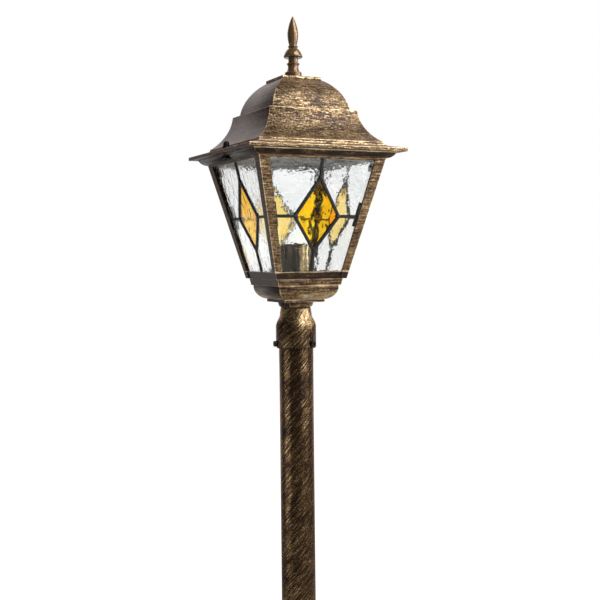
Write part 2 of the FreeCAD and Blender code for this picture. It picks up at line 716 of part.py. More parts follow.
def finial():
    """Turned finial: base disc, flared stem, ring, bell, collar and spear, with a stud below."""
    base = FINIAL_BASE_DIAMETER / 2
    edge = FINIAL_BASE_EDGE
    bead = FINIAL_BEAD_SAG
    flare = FINIAL_FLARE_DIAMETER / 2
    waist = FINIAL_WAIST_DIAMETER / 2
    ring_radius = FINIAL_RING_DIAMETER / 2
    stem = FINIAL_STEM_DIAMETER / 2
    bell = FINIAL_BELL_DIAMETER / 2
    bell_top = FINIAL_BELL_TOP_DIAMETER / 2
    collar = FINIAL_COLLAR_DIAMETER / 2
    spear_foot = FINIAL_SPEAR_FOOT_DIAMETER / 2
    spear = FINIAL_SPEAR_DIAMETER / 2
    tip = FINIAL_TIP_DIAMETER / 2
    stud = FINIAL_STUD_DIAMETER / 2
    z_base = z_finial + FINIAL_BASE_HEIGHT
    z_ring = z_finial + FINIAL_WAIST_HEIGHT
    z_stem = z_ring + FINIAL_RING_HEIGHT
    z_bell = z_stem + FINIAL_STEM_HEIGHT
    z_lip = z_bell + FINIAL_BELL_LIP
    z_bell_top = z_bell + FINIAL_BELL_HEIGHT
    z_collar = z_bell_top + FINIAL_GROOVE
    z_collar_top = z_collar + FINIAL_COLLAR_HEIGHT
    z_spear = z_collar_top + FINIAL_GROOVE
    z_belly = z_spear + FINIAL_SPEAR_BELLY
    z_tip = z_spear + FINIAL_SPEAR_HEIGHT
    return turned(
        (0, stud_end()), (stud, stud_end()), (stud, z_finial), (base, z_finial), (base, z_base - edge),
        (base - edge, z_base, -FINIAL_BASE_SAG), (flare, z_base), (waist, z_ring, FINIAL_WAIST_SAG),
        (ring_radius - bead, z_ring), (ring_radius - bead, z_stem, -bead), (stem, z_stem), (stem, z_bell),
        (bell - FINIAL_BELL_EDGE, z_bell), (bell, z_lip, -FINIAL_BELL_EDGE_SAG),
        (bell_top, z_bell_top, -FINIAL_BELL_SAG),
        (spear_foot, z_bell_top), (spear_foot, z_collar), (collar - bead, z_collar),
        (collar - bead, z_collar_top, -bead), (spear_foot, z_collar_top), (spear_foot, z_spear),
        (spear, z_belly, -FINIAL_SPEAR_FOOT_SAG), (tip, z_tip, -FINIAL_SPEAR_SAG), (0, z_tip))


def stud_end():
    return z_cap - ROOF_WALL - FINIAL_WASHER_THICKNESS - FINIAL_NUT_HEIGHT - FINIAL_STUD_END


def finial_washer():
    top = z_cap - ROOF_WALL
    hole = FINIAL_STUD_DIAMETER / 2 + FINIAL_STUD_FIT
    return ring(FINIAL_WASHER_DIAMETER / 2, hole, top - FINIAL_WASHER_THICKNESS, top)


def finial_nut():
    top = z_cap - ROOF_WALL - FINIAL_WASHER_THICKNESS
    hole = rod(FINIAL_STUD_DIAMETER / 2 + NUT_THREAD_FIT, top - FINIAL_NUT_HEIGHT, top)
    return hexagon(FINIAL_NUT_ACROSS, top - FINIAL_NUT_HEIGHT, top).cut(hole)


def diamond(margin):
    """Corners of the amber diamond, moved outward by a margin."""
    half = DIAMOND_WIDTH / 2
    above = 1 + margin * math.hypot(half, DIAMOND_RISE) / (half * DIAMOND_RISE)
    below = 1 + margin * math.hypot(half, DIAMOND_DROP) / (half * DIAMOND_DROP)
    shift = (above - below) / (1 / DIAMOND_RISE + 1 / DIAMOND_DROP)
    side = half * (above - shift / DIAMOND_RISE)
    level = DIAMOND_LEVEL + shift
    return [(side, level), (0, DIAMOND_LEVEL + DIAMOND_RISE * above),
            (-side, level), (0, DIAMOND_LEVEL - DIAMOND_DROP * below)]


def lattice(width, low, high, side_end, bottom_end, top_end):
    """Diamond outline with arms to the sides, the bottom and the top, between two depths."""
    outline = slab(diamond(width / 2), low, high).cut(slab(diamond(-width / 2), low, high))
    half = width / 2
    right = DIAMOND_WIDTH / 2
    above = DIAMOND_LEVEL + DIAMOND_RISE
    below = DIAMOND_LEVEL - DIAMOND_DROP
    arms = [
        [(right, DIAMOND_LEVEL - half), (side_end, DIAMOND_LEVEL - half),
         (side_end, DIAMOND_LEVEL + half), (right, DIAMOND_LEVEL + half)],
        [(-side_end, DIAMOND_LEVEL - half), (-right, DIAMOND_LEVEL - half),
         (-right, DIAMOND_LEVEL + half), (-side_end, DIAMOND_LEVEL + half)],
        [(-half, above), (half, above), (half, top_end), (-half, top_end)],
        [(-half, bottom_end), (half, bottom_end), (half, below), (-half, below)]]
    return outline.fuse([slab(arm, low, high) for arm in arms])


def end_bars(low, high):
    """Short bars where the level came meets the window's two sides."""
    bottom = DIAMOND_LEVEL - END_BAR_DROP
    top = DIAMOND_LEVEL + END_BAR_RISE
    bars = []
    for side in (-1, 1):
        corners = []
        for inset, up in ((END_BAR_WIDTH, bottom), (0, bottom), (0, top), (END_BAR_WIDTH, top)):
            corners.append((side * (window_half(up) - CAME_END_GAP - inset), up))
        bars.append(slab(corners, low, high))
    return bars


def came():
    """Came of the front pane: two flange layers around a heart that runs between the glass pieces."""
    side_end = window_half(DIAMOND_LEVEL) - CAME_END_GAP - END_BAR_WIDTH / 2
    bottom_end = window_bottom + CAME_END_GAP
    top_end = window_top - CAME_END_GAP
    layers = []
    for low, high in ((-came_outer - CAME_FLANGE, -came_outer), (-came_inner, -came_inner + CAME_FLANGE)):
        layers.append(lattice(CAME_WIDTH, low, high, side_end, bottom_end, top_end))
        layers += end_bars(low, high)
    heart = lattice(CAME_HEART, -came_inner, -came_outer, side_end, bottom_end, top_end)
    return on_front(heart.fuse(layers).removeSplitter())


def glass_pieces():
    """The front pane's clear pieces and its amber diamond, parted where the came's heart runs."""
    pane = slab(trapezium(pane_half, pane_bottom, pane_top), -pane_inner, -pane_outer)
    gap = lattice(CAME_HEART + 2 * CAME_HEART_FIT, -pane_inner, -pane_outer,
                  pane_half(pane_top), pane_bottom, pane_top)
    clear = []
    amber = []
    for piece in pane.cut(gap).Solids:
        inside = abs(piece.CenterOfMass.x) < DIAMOND_WIDTH / 4
        (amber if inside else clear).append(on_front(piece))
    return clear, amber


def plate_centre():
    """Distance up the arris of a corner plate's middle."""
    return (FRAME_HEIGHT - PLATE_DROP) * corner_length


def plate_depth():
    """Depth of a corner plate's outer face behind the arris, its two ends just clear of the panes."""
    ends = PLATE_WIDTH / 2 * CORNER_ACROSS.dot(SIDE_OUT)
    return (pane_inner + PLATE_GAP + ends) / CORNER_OUT.dot(SIDE_OUT)


def plate_screw_hole():
    radius = PLATE_SCREW_DIAMETER / 2 + SCREW_FIT
    return Part.makeCylinder(radius, plate_depth() - PLATE_SCREW_COVER,
                             Vector(0, plate_centre(), -plate_depth()))


def pane_plates():
    centre = plate_centre()
    half = PLATE_WIDTH / 2
    low = centre - PLATE_HEIGHT / 2
    high = centre + PLATE_HEIGHT / 2
    back = -plate_depth() - PLATE_THICKNESS
    plate = slab([(-half, low), (half, low), (half, high), (-half, high)], back, back + PLATE_THICKNESS)
    hole = Part.makeCylinder(PLATE_SCREW_DIAMETER / 2 + SCREW_FIT, PLATE_THICKNESS, Vector(0, centre, back))
    return around(on_corner(plate.cut(hole)), 4)


def pane_plate_screws():
    seat = -plate_depth() - PLATE_THICKNESS
    tip = -PLATE_SCREW_COVER - SCREW_FIT
    centre = plate_centre()
    shank = Part.makeCylinder(PLATE_SCREW_DIAMETER / 2, tip - seat, Vector(0, centre, seat))
    head = Part.makeCylinder(PLATE_SCREW_HEAD_DIAMETER / 2, PLATE_SCREW_HEAD_HEIGHT,
                             Vector(0, centre, seat - PLATE_SCREW_HEAD_HEIGHT))
    return around(on_corner(shank.fuse(head)), 4)


def nipple():
    return ring(NIPPLE_DIAMETER / 2, NIPPLE_BORE / 2, z_nipple, z_nipple_top)


def nipple_washers():
    return [ring(NIPPLE_WASHER_DIAMETER / 2, nipple_hole, z, z + NIPPLE_WASHER_THICKNESS)
            for z in (z_lower_washer, z_upper_washer)]


def nipple_nuts():
    nuts = []
    for z in (z_lower_nut, z_upper_nut):
        bore = rod(NIPPLE_DIAMETER / 2 + NUT_THREAD_FIT, z, z + NIPPLE_NUT_HEIGHT)
        nuts.append(hexagon(NIPPLE_NUT_ACROSS, z, z + NIPPLE_NUT_HEIGHT).cut(bore))
    return nuts


def holder_cup():
    """Drawn cup around the lamp holder, with rounded lower corner and a rolled upper edge."""
    outer = CUP_DIAMETER / 2
    inner = outer - CUP_WALL
    top = z_cup + CUP_HEIGHT
    corner_sag = CUP_CORNER * (1 - math.sqrt(0.5))
    inner_corner = CUP_CORNER - CUP_WALL
    inner_sag = inner_corner * (1 - math.sqrt(0.5))
    bead = CUP_BEAD / 2
    return turned(
        (nipple_hole, z_cup), (outer - CUP_CORNER, z_cup), (outer, z_cup + CUP_CORNER, -corner_sag),
        (outer, top - CUP_BEAD), (outer, top, -bead), (inner, top), (inner, z_tag + inner_corner),
        (inner - inner_corner, z_tag, inner_sag), (nipple_hole, z_tag))


def earth_tag():
    """Ring under the holder's nut with a tab and an upright crimp for the earth wire."""
    reach = EARTH_TAG_REACH
    tab = Part.makeBox(reach, EARTH_TAG_WIDTH, EARTH_TAG_THICKNESS, Vector(0, -EARTH_TAG_WIDTH / 2, z_tag))
    crimp = rod(EARTH_CRIMP_DIAMETER / 2, z_tag, z_tag + EARTH_CRIMP_HEIGHT, x=reach)
    disc = rod(EARTH_TAG_DIAMETER / 2, z_tag, z_bracket)
    wire_bore = rod(WIRE_DIAMETER / 2 + WIRE_FIT, z_bracket, z_tag + EARTH_CRIMP_HEIGHT, x=reach)
    tag = disc.fuse([tab, crimp]).cut([rod(nipple_hole, z_tag, z_bracket), wire_bore])
    return spun(tag.removeSplitter(), EARTH_TAG_ANGLE)


def holder_bracket():
    """Bent strip that carries the porcelain above the cup's floor, legs in the YZ plane."""
    half = BRACKET_SPAN / 2
    inner = half - BRACKET_SHEET
    foot_end = half - BRACKET_FOOT
    z_foot = z_socket - BRACKET_SHEET
    right = [(0, z_bracket), (half, z_bracket), (half, z_socket), (foot_end, z_socket), (foot_end, z_foot),
             (inner, z_foot), (inner, z_upper_washer), (0, z_upper_washer)]
    left = [(-r, z) for r, z in reversed(right)]
    strap = strip(right + left[1:-1], BRACKET_WIDTH)
    tapped = rod(HOLDER_SCREW_DIAMETER / 2 + SCREW_FIT, z_foot, z_socket, x=HOLDER_SCREW_SPACING / 2)
    holes = [rod(nipple_hole, z_bracket, z_upper_washer)] + around(tapped, 2)
    return spun(strap.cut(holes), 90)


def holder_screws():
    offset = HOLDER_SCREW_SPACING / 2
    end = z_socket - BRACKET_SHEET - HOLDER_SCREW_END
    seat = z_cavity - HOLDER_SCREW_HEAD_HEIGHT
    shank = rod(HOLDER_SCREW_DIAMETER / 2, end, seat, y=offset)
    head = rod(HOLDER_SCREW_HEAD_DIAMETER / 2, seat, z_cavity, y=offset)
    return around(shank.fuse(head), 2)


def terminal_pocket(margin, depth):
    """Block-shaped space of one wire terminal under the porcelain, on the +X side."""
    return block(TERMINAL_WIDTH + 2 * margin, TERMINAL_DEPTH + 2 * margin,
                 z_socket + TERMINAL_POCKET - depth, z_socket + TERMINAL_POCKET + margin,
                 x=TERMINAL_SPACING / 2)


def wire_terminals():
    z_low = z_socket + TERMINAL_POCKET - TERMINAL_HEIGHT
    radius = WIRE_DIAMETER / 2 + WIRE_FIT
    bore = rod(radius, z_low, z_low + TERMINAL_BORE_DEPTH, x=TERMINAL_SPACING / 2)
    return around(terminal_pocket(0, TERMINAL_HEIGHT).cut(bore), 2)


def socket_body():
    """Porcelain lamp holder: a ledge for the thread shell over a well for the centre tongue."""
    radius = SOCKET_DIAMETER / 2
    edge = SOCKET_EDGE
    body = turned(
        (0, z_socket), (radius - edge, z_socket), (radius, z_socket + edge), (radius, z_socket_top - edge),
        (radius - edge, z_socket_top, -SOCKET_EDGE_SAG), (0, z_socket_top))
    offset = HOLDER_SCREW_SPACING / 2
    screw_hole = rod(HOLDER_SCREW_DIAMETER / 2 + SCREW_FIT, z_socket, z_cavity, y=offset)
    head_room = rod(HOLDER_SCREW_HEAD_DIAMETER / 2 + SCREW_FIT, z_cavity - HOLDER_SCREW_HEAD_HEIGHT,
                    z_cavity, y=offset)
    z_shell = z_cavity + SHELL_LEDGE
    well = rod(SHELL_FLANGE_HOLE / 2, z_cavity, z_shell)
    cuts = [well, rod(SOCKET_CAVITY / 2, z_shell, z_socket_top)]
    cuts += around(screw_hole.fuse(head_room), 2)
    cuts += around(terminal_pocket(TERMINAL_FIT, TERMINAL_POCKET), 2)
    return body.cut(cuts)


def thread_shell():
    """Brass thread shell with a flange on the porcelain's ledge."""
    inner = SHELL_INSIDE_DIAMETER / 2
    outer = inner + SHELL_WALL
    top = z_socket_top - SHELL_RIM_DROP
    z_shell = z_cavity + SHELL_LEDGE
    wall = ring(outer, inner, z_shell, top)
    flange = ring(outer, SHELL_FLANGE_HOLE / 2, z_shell, z_shell + SHELL_WALL)
    return wall.fuse(flange).removeSplitter()


def contact_axis():
    """Root line of the centre tongue, as its distance along X and its height."""
    return CONTACT_ROOT_OFFSET, z_cavity + CONTACT_GAP + CONTACT_ROOT_DIAMETER / 2


def centre_contact():
    """Sprung tongue that meets the bulb's tip; its rolled root lies on the porcelain."""
    root_x, root_z = contact_axis()
    width = CONTACT_WIDTH
    root = Part.makeCylinder(CONTACT_ROOT_DIAMETER / 2, width, Vector(root_x, -width / 2, root_z),
                             Vector(0, 1, 0))
    crest = root_z + CONTACT_RISE
    tip = crest - CONTACT_TIP_DROP
    line = [(root_x, root_z), (CONTACT_CREST_START, crest), (CONTACT_CREST_END, crest), (CONTACT_TIP, tip)]
    upper = [(x, z + CONTACT_SHEET / 2) for x, z in line]
    lower = [(x, z - CONTACT_SHEET / 2) for x, z in reversed(line)]
    return root.fuse(strip(upper + lower, width)).removeSplitter()


def wire(name, points):
    """Insulated wire along straight runs with arcs as large as the runs allow."""
    corners = [Vector(*point) for point in points]
    edges = []
    radii = []
    here = corners[0]
    for before, corner, after in zip(corners, corners[1:], corners[2:]):
        way_in = (corner - before).normalize()
        way_out = (after - corner).normalize()
        half_turn = way_in.getAngle(way_out) / 2
        cut = WIRE_BEND_SHARE * min((corner - before).Length, (after - corner).Length)
        radius = cut / math.tan(half_turn)
        start = corner - way_in * cut
        end = corner + way_out * cut
        inward = (way_out - way_in).normalize()
        middle = corner + inward * (radius / math.cos(half_turn) - radius)
        edges.append(Part.LineSegment(here, start).toShape())
        edges.append(Part.Arc(start, middle, end).toShape())
        radii.append(round(radius, 1))
        here = end
    edges.append(Part.LineSegment(here, corners[-1]).toShape())
    path = Part.Wire(edges)
    circle = Part.Circle(corners[0], corners[1] - corners[0], WIRE_DIAMETER / 2).toShape()
    solid = path.makePipeShell([Part.Wire([circle])], True, True)
    section = math.pi * (WIRE_DIAMETER / 2) ** 2
    print(name, "bend radii", radii, "volume over section times length",
          round(solid.Volume / (section * path.Length), 4))
    return solid


def wires():
    """Live, neutral and earth wire from the terminal block up through the nipple to the holder."""
    z_entry = z_block + BLOCK_HEIGHT
    z_grip = z_entry - BLOCK_ENTRY
    side = WIRE_ORBIT * math.sin(math.radians(60))
    slot = {"live": (-WIRE_ORBIT, 0), "neutral": (WIRE_ORBIT / 2, -side), "earth": (WIRE_ORBIT / 2, side)}
    way = {"live": -BLOCK_PITCH, "neutral": BLOCK_PITCH, "earth": 0}
    z_gather = z_nipple - WIRE_GATHER_DROP
    z_leave = z_nipple_top + WIRE_TURN
    z_low = z_socket + TERMINAL_POCKET - TERMINAL_HEIGHT
    z_turn = z_low - WIRE_TURN
    made = {}
    for name, (x, y) in slot.items():
        route = [(way[name], 0, z_grip), (way[name], 0, z_entry + WIRE_LEAD),
                 (x, y, z_gather), (x, y, z_leave)]
        if name == "earth":
            crimp_x = EARTH_TAG_REACH * math.cos(math.radians(EARTH_TAG_ANGLE))
            crimp_y = EARTH_TAG_REACH * math.sin(math.radians(EARTH_TAG_ANGLE))
            z_crimp = z_tag + EARTH_CRIMP_HEIGHT
            z_over = z_leave + EARTH_WIRE_RISE
            route += [(x + (crimp_x - x) * share, y + (crimp_y - y) * share, z_over)
                      for share in (EARTH_WIRE_RISE_SHARE, EARTH_WIRE_FALL_SHARE)]
            route += [(crimp_x, crimp_y, z_crimp + WIRE_LEAD), (crimp_x, crimp_y, z_bracket)]
        else:
            terminal_x = math.copysign(TERMINAL_SPACING / 2, way[name])
            route += [(terminal_x, 0, z_turn), (terminal_x, 0, z_low + TERMINAL_BORE_DEPTH)]
        made[name + "_wire"] = wire(name, route)
    return made


def terminal_block():
    """Three-way terminal block on the wires, with ribs between the ways."""
    top = z_block + BLOCK_HEIGHT
    body = block(BLOCK_WIDTH, BLOCK_DEPTH, z_block, top)
    cuts = []
    front = -BLOCK_DEPTH / 2
    for way in (-1, 0, 1):
        cuts.append(rod(BLOCK_BORE / 2, z_block, top, x=way * BLOCK_PITCH))
    for gap in (-0.5, 0.5):
        corner = Vector(gap * BLOCK_PITCH - BLOCK_RIB / 2, front, z_block)
        cuts.append(Part.makeBox(BLOCK_RIB, BLOCK_RIB_DEPTH, BLOCK_HEIGHT, corner))
    cuts += [block_screw(x, z, BLOCK_SCREW_FIT, 0) for x, z in block_screw_places()]
    return body.cut(cuts)


def block_screw_places():
    middle = z_block + BLOCK_HEIGHT / 2
    return [(way * BLOCK_PITCH, middle + end * BLOCK_SCREW_OFFSET) for way in (-1, 0, 1) for end in (-1, 1)]


def block_screw(x, z, margin, sunk):
    """Cylinder of one terminal screw, from the block's face in to the wire."""
    front = -BLOCK_DEPTH / 2 + sunk
    reach = -WIRE_DIAMETER / 2 - BLOCK_SCREW_TIP_GAP - front
    return Part.makeCylinder(BLOCK_SCREW_DIAMETER / 2 + margin, reach, Vector(x, front, z), Vector(0, 1, 0))


def terminal_screws():
    return [block_screw(x, z, 0, BLOCK_SCREW_SUNK) for x, z in block_screw_places()]


def nodes():
    """Every piece of the lamp post, as a name and its solid or group of solids."""
    z_sleeve_screw = z_sleeve + CLAMP_SCREW_RISE
    pieces = {
        "foot": foot(),
        "foot_screws": clamp_screws(FOOT_HEIGHT - FOOT_SCREW_DROP),
        "post_tube": post_tube(),
        "post_sleeve": post_sleeve(),
        "neck_gasket": neck_gasket(),
        "lantern_tray": lantern_tray(),
        "lantern_frame": lantern_frame(),
        "frame_screws": frame_screws(),
        "pane_plates": pane_plates(),
        "pane_plate_screws": pane_plate_screws(),
        "roof_bolts": roof_bolts(),
        "cap_nut_left": cap_nut(-1),
        "cap_nut_right": cap_nut(1),
        "roof": roof(),
        "finial": finial(),
        "finial_washer": finial_washer(),
        "finial_nut": finial_nut(),
        "nipple": nipple(),
        "nipple_washers": nipple_washers(),
        "nipple_nuts": nipple_nuts(),
        "holder_cup": holder_cup(),
        "earth_tag": earth_tag(),
        "holder_bracket": holder_bracket(),
        "holder_screws": holder_screws(),
        "wire_terminals": wire_terminals(),
        "socket_body": socket_body(),
        "thread_shell": thread_shell(),
        "centre_contact": centre_contact(),
        "terminal_block": terminal_block(),
        "terminal_screws": terminal_screws()}
    for number, screw in enumerate(clamp_screws(z_sleeve_screw), 1):
        pieces[f"sleeve_screw_{number}"] = screw
    clear, amber = glass_pieces()
    front_came = came()
    for index, side in enumerate(SIDES):
        pieces[f"clear_glass_{side}"] = [spun(piece, 90 * index) for piece in clear]
        pieces[f"amber_glass_{side}"] = [spun(piece, 90 * index) for piece in amber]
        pieces[f"came_{side}"] = spun(front_came, 90 * index)
    pieces.update(wires())
    return pieces


os.makedirs("parts", exist_ok=True)
for node, shape in nodes().items():
    if isinstance(shape, list):
        shape = Part.makeCompound(shape)
    shape.exportStep(os.path.join("parts", node + ".step"))
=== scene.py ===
import math

import bmesh
import bpy
from mathutils import Matrix, Vector, noise


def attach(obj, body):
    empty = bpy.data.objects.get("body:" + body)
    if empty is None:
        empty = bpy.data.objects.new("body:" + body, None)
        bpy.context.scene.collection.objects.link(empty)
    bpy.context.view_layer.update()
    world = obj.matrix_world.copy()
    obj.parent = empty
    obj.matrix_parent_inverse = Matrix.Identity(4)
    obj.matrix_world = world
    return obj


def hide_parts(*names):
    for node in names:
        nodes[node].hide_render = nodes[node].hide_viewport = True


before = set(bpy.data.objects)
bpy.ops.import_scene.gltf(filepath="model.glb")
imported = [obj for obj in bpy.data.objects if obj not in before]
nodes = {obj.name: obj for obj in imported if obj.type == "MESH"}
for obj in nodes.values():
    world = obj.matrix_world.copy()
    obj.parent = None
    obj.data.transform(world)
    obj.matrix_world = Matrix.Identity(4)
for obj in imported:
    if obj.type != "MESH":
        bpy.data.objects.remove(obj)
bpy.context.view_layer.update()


# Foot: a hollow round casting in aluminium that stands on the ground and grips the post in its collar.
# Like the other castings it is sprayed with dark brown enamel, then dry-brushed with antique gold.

MM = 0.001


def linear(code):
    """Linear colour of an sRGB hex value."""
    parts = [int(code[i:i + 2], 16) / 255 for i in (1, 3, 5)]
    return [p / 12.92 if p <= 0.04045 else ((p + 0.055) / 1.055) ** 2.4 for p in parts] + [1.0]


def add(tree, kind, links, **settings):
    """A shader node with its settings; links gives each input a socket to join or a plain value."""
    made = tree.nodes.new("ShaderNode" + kind)
    for key, value in settings.items():
        setattr(made, key, value)
    for name, source in links.items():
        if isinstance(source, bpy.types.NodeSocket):
            tree.links.new(source, made.inputs[name])
        else:
            made.inputs[name].default_value = source
    return made


def new_material(name, **plain):
    """A material with one shader, its plain sockets set; gives the material, its tree and the shader."""
    material = bpy.data.materials.new(name)
    material.use_nodes = True
    tree = material.node_tree
    tree.nodes.clear()
    shader = add(tree, "BsdfPrincipled", {key.replace("_", " "): value for key, value in plain.items()})
    add(tree, "OutputMaterial", {"Surface": shader.outputs["BSDF"]})
    return material, tree, shader


def set_stops(ramp, stops):
    """Sets a colour ramp's stops from (position, hex colour) pairs."""
    elements = ramp.color_ramp.elements
    while len(elements) < len(stops):
        elements.new(0.5)
    for element, (position, code) in zip(elements, stops):
        element.position = position
        element.color = linear(code)


def turned_away(tree, place, facing):
    """How far a face looks away from the lamp's upright axis: 1 is straight out and -1 straight in."""
    level = add(tree, "VectorMath", {0: place, 1: (1, 1, 0)}, operation="MULTIPLY").outputs[0]
    outward = add(tree, "VectorMath", {0: level}, operation="NORMALIZE").outputs[0]
    return add(tree, "VectorMath", {0: outward, 1: facing}, operation="DOT_PRODUCT").outputs["Value"]


# Dry-brushed gold on brown enamel: the brush is nearly dry, so the gold catches only the high grain and
# leaves broken strokes. It lies thickest on arrises and thinnest inside. Painted shade takes some of it away
# on the left and right walls of square castings, on undersides, and in bands such as a recessed sill and a
# sleeve's barrel. Single bristle marks are too fine to show, so the flecks are drawn 1.2 to 2 mm wide.
COAT = [(0.40, "#140C06"), (0.48, "#33251A"), (0.54, "#6A5339"), (0.61, "#B0966C"), (0.72, "#EADABB")]
ENAMEL_SHEEN = "#F6E2E4"
STROKE_SHARE = 0.6
FLECK_SHARE = 0.28
PATCH_SHARE = 0.12
PATCH_SIZE = 24 * MM
NOISE_LOW = 0.3
NOISE_MIDDLE = 0.5
NOISE_HIGH = 0.7
ARRIS_CORE = 0.3 * MM
ARRIS_WIDTH = 1.2 * MM
ARRIS_GOLD = 0.1
HIP_FADE = 0.3 * MM
TURNED_IN = (-0.1, -0.3)
TURNED_DOWN = (-0.8, -0.15)
INSIDE_GOLD = -0.16
SHADE_BAND_GOLD = -0.09
SHADE_BAND_FADE = 0.1 * MM
RAGGED_FADE = 0.6
METAL_SPAN = 0.1
STROKE_HEIGHT = 0.5 * MM
# Bare casting: sand-cast aluminium where spray and brush don't reach, pale grey and matt.
BARE_CASTING = "#CACAC4"


def dry_brushed_gold(name, stroke_length, stroke_width, twist=0.0, edges=(), hips=False, gold=0.0,
                     sunk=None, under=-0.1, bare_above=None, gloss=0.25, rough=(0.3, 0.44), metal=0.75,
                     broken=1.0, fleck=2.0 * MM, side_shade_gold=-0.09, relief=0.3, metal_from=0.5):
    """Enamel under gold strokes, which run level or wind about the post by twist radians per metre.

    edges are the heights of level arrises, and hips says that the piece is square in plan. gold adds cover
    all over. under adds to it on undersides, as painted shade where below zero and painted light where
    above, and side_shade_gold takes some away on the left and right walls, as painted shade. sunk is a band
    drawn
    darker as painted shade: its low end, its high end and how ragged they are. bare_above leaves the inside
    unpainted from a height up. broken is how strongly the strokes break up, and metal_from is the cover at
    which they start to shine.
    """
    material, tree, shader = new_material(name, Specular_IOR_Level=gloss,
                                          Specular_Tint=linear(ENAMEL_SHEEN))
    space = add(tree, "TexCoord", {})
    place = space.outputs["Object"]
    facing = space.outputs["Normal"]
    x, y, z = add(tree, "SeparateXYZ", {"Vector": place}).outputs
    wide = add(tree, "Math", {0: x}, operation="ABSOLUTE").outputs[0]
    deep = add(tree, "Math", {0: y}, operation="ABSOLUTE").outputs[0]

    # The way of the brush: about the post, or level round a casting and up its slope
    if twist:
        angle = add(tree, "Math", {0: z, 1: -twist}, operation="MULTIPLY").outputs[0]
        brushed = add(tree, "VectorRotate", {"Vector": place, "Angle": angle},
                      rotation_type="Z_AXIS").outputs[0]
        size = (1 / stroke_width, 1 / stroke_width, 1 / stroke_length)
    else:
        if hips:
            reach = add(tree, "Math", {0: wide, 1: deep}, operation="MAXIMUM").outputs[0]
        else:
            level = add(tree, "VectorMath", {0: place, 1: (1, 1, 0)}, operation="MULTIPLY").outputs[0]
            reach = add(tree, "VectorMath", {0: level}, operation="LENGTH").outputs["Value"]
        climb = add(tree, "Math", {0: z, 1: reach}, operation="SUBTRACT").outputs[0]
        brushed = add(tree, "CombineXYZ", {0: x, 1: y, 2: climb}).outputs[0]
        size = (1 / stroke_length, 1 / stroke_length, 1 / stroke_width)

    # Strokes, flecks and patches together
    along = add(tree, "Mapping", {"Vector": brushed, "Scale": size}).outputs[0]
    strokes = add(tree, "TexNoise", {"Vector": along, "Scale": 1.0, "Detail": 4.0,
                                     "Roughness": 0.7}).outputs[0]
    flecks = add(tree, "TexNoise", {"Vector": place, "Scale": 1 / fleck, "Detail": 2.0}).outputs[0]
    patches = add(tree, "TexNoise", {"Vector": place, "Scale": 1 / PATCH_SIZE, "Detail": 2.0}).outputs[0]
    total = gold + NOISE_MIDDLE * (1 - broken)
    for layer, share in ((strokes, STROKE_SHARE), (flecks, FLECK_SHARE), (patches, PATCH_SHARE)):
        total = add(tree, "Math", {0: layer, 1: share * broken, 2: total},
                    operation="MULTIPLY_ADD").outputs[0]

    # More gold on the arrises
    arrises = []
    for height in edges:
        off = add(tree, "Math", {0: z, 1: height}, operation="SUBTRACT").outputs[0]
        arrises.append(add(tree, "Math", {0: off}, operation="ABSOLUTE").outputs[0])
    if hips:
        aside = add(tree, "Math", {0: wide, 1: deep}, operation="SUBTRACT").outputs[0]
        arrises.append(add(tree, "Math", {0: aside}, operation="ABSOLUTE").outputs[0])
    changes = [add(tree, "MapRange", {"Value": distance, "From Min": ARRIS_CORE, "From Max": ARRIS_WIDTH,
                                      "To Min": ARRIS_GOLD, "To Max": 0.0}).outputs[0]
               for distance in arrises]

    # Less of it inside; painted shade on the left and right walls; on undersides painted shade where under
    # is below zero and painted light where it is above
    out_x, out_y, out_z = add(tree, "SeparateXYZ", {"Vector": facing}).outputs
    if hips:
        ways = []
        for spot, part in ((y, out_y), (x, out_x)):
            way = add(tree, "Math", {0: spot}, operation="SIGN").outputs[0]
            ways.append(add(tree, "Math", {0: way, 1: part}, operation="MULTIPLY").outputs[0])
        side_wall = add(tree, "Math", {0: aside, 1: 0.0}, operation="GREATER_THAN").outputs[0]
        turned_out = add(tree, "Mix", {"Factor": side_wall, "A": ways[0], "B": ways[1]}).outputs["Result"]
        # Painted shade: less gold on the left and right walls
        changes.append(add(tree, "MapRange", {"Value": aside, "From Min": 0.0, "From Max": HIP_FADE,
                                              "To Min": 0.0, "To Max": side_shade_gold}).outputs[0])
    else:
        turned_out = turned_away(tree, place, facing)
    inside = add(tree, "MapRange", {"Value": turned_out, "From Min": TURNED_IN[0],
                                    "From Max": TURNED_IN[1]}).outputs[0]
    changes.append(add(tree, "Math", {0: inside, 1: INSIDE_GOLD}, operation="MULTIPLY").outputs[0])
    # Painted shade on undersides where under is below zero, painted light where it is above
    changes.append(add(tree, "MapRange", {"Value": out_z, "From Min": TURNED_DOWN[0],
                                          "From Max": TURNED_DOWN[1], "To Min": under,
                                          "To Max": 0.0}).outputs[0])
    # Painted shade: a band between two heights drawn with less gold, its ends made ragged by the patches
    if sunk:
        low, high, ragged = sunk
        wander = add(tree, "MapRange", {"Value": patches, "To Min": -ragged, "To Max": ragged}).outputs[0]
        line = add(tree, "Math", {0: z, 1: wander}, operation="ADD").outputs[0]
        over = add(tree, "Math", {0: line, 1: low}, operation="GREATER_THAN").outputs[0]
        fade = SHADE_BAND_FADE + RAGGED_FADE * ragged
        below = add(tree, "MapRange", {"Value": line, "From Min": high + fade,
                                       "From Max": high - fade}).outputs[0]
        between = add(tree, "Math", {0: over, 1: below}, operation="MULTIPLY").outputs[0]
        changes.append(add(tree, "Math", {0: between, 1: SHADE_BAND_GOLD}, operation="MULTIPLY").outputs[0])
    for change in changes:
        total = add(tree, "Math", {0: change, 1: total}, operation="ADD").outputs[0]

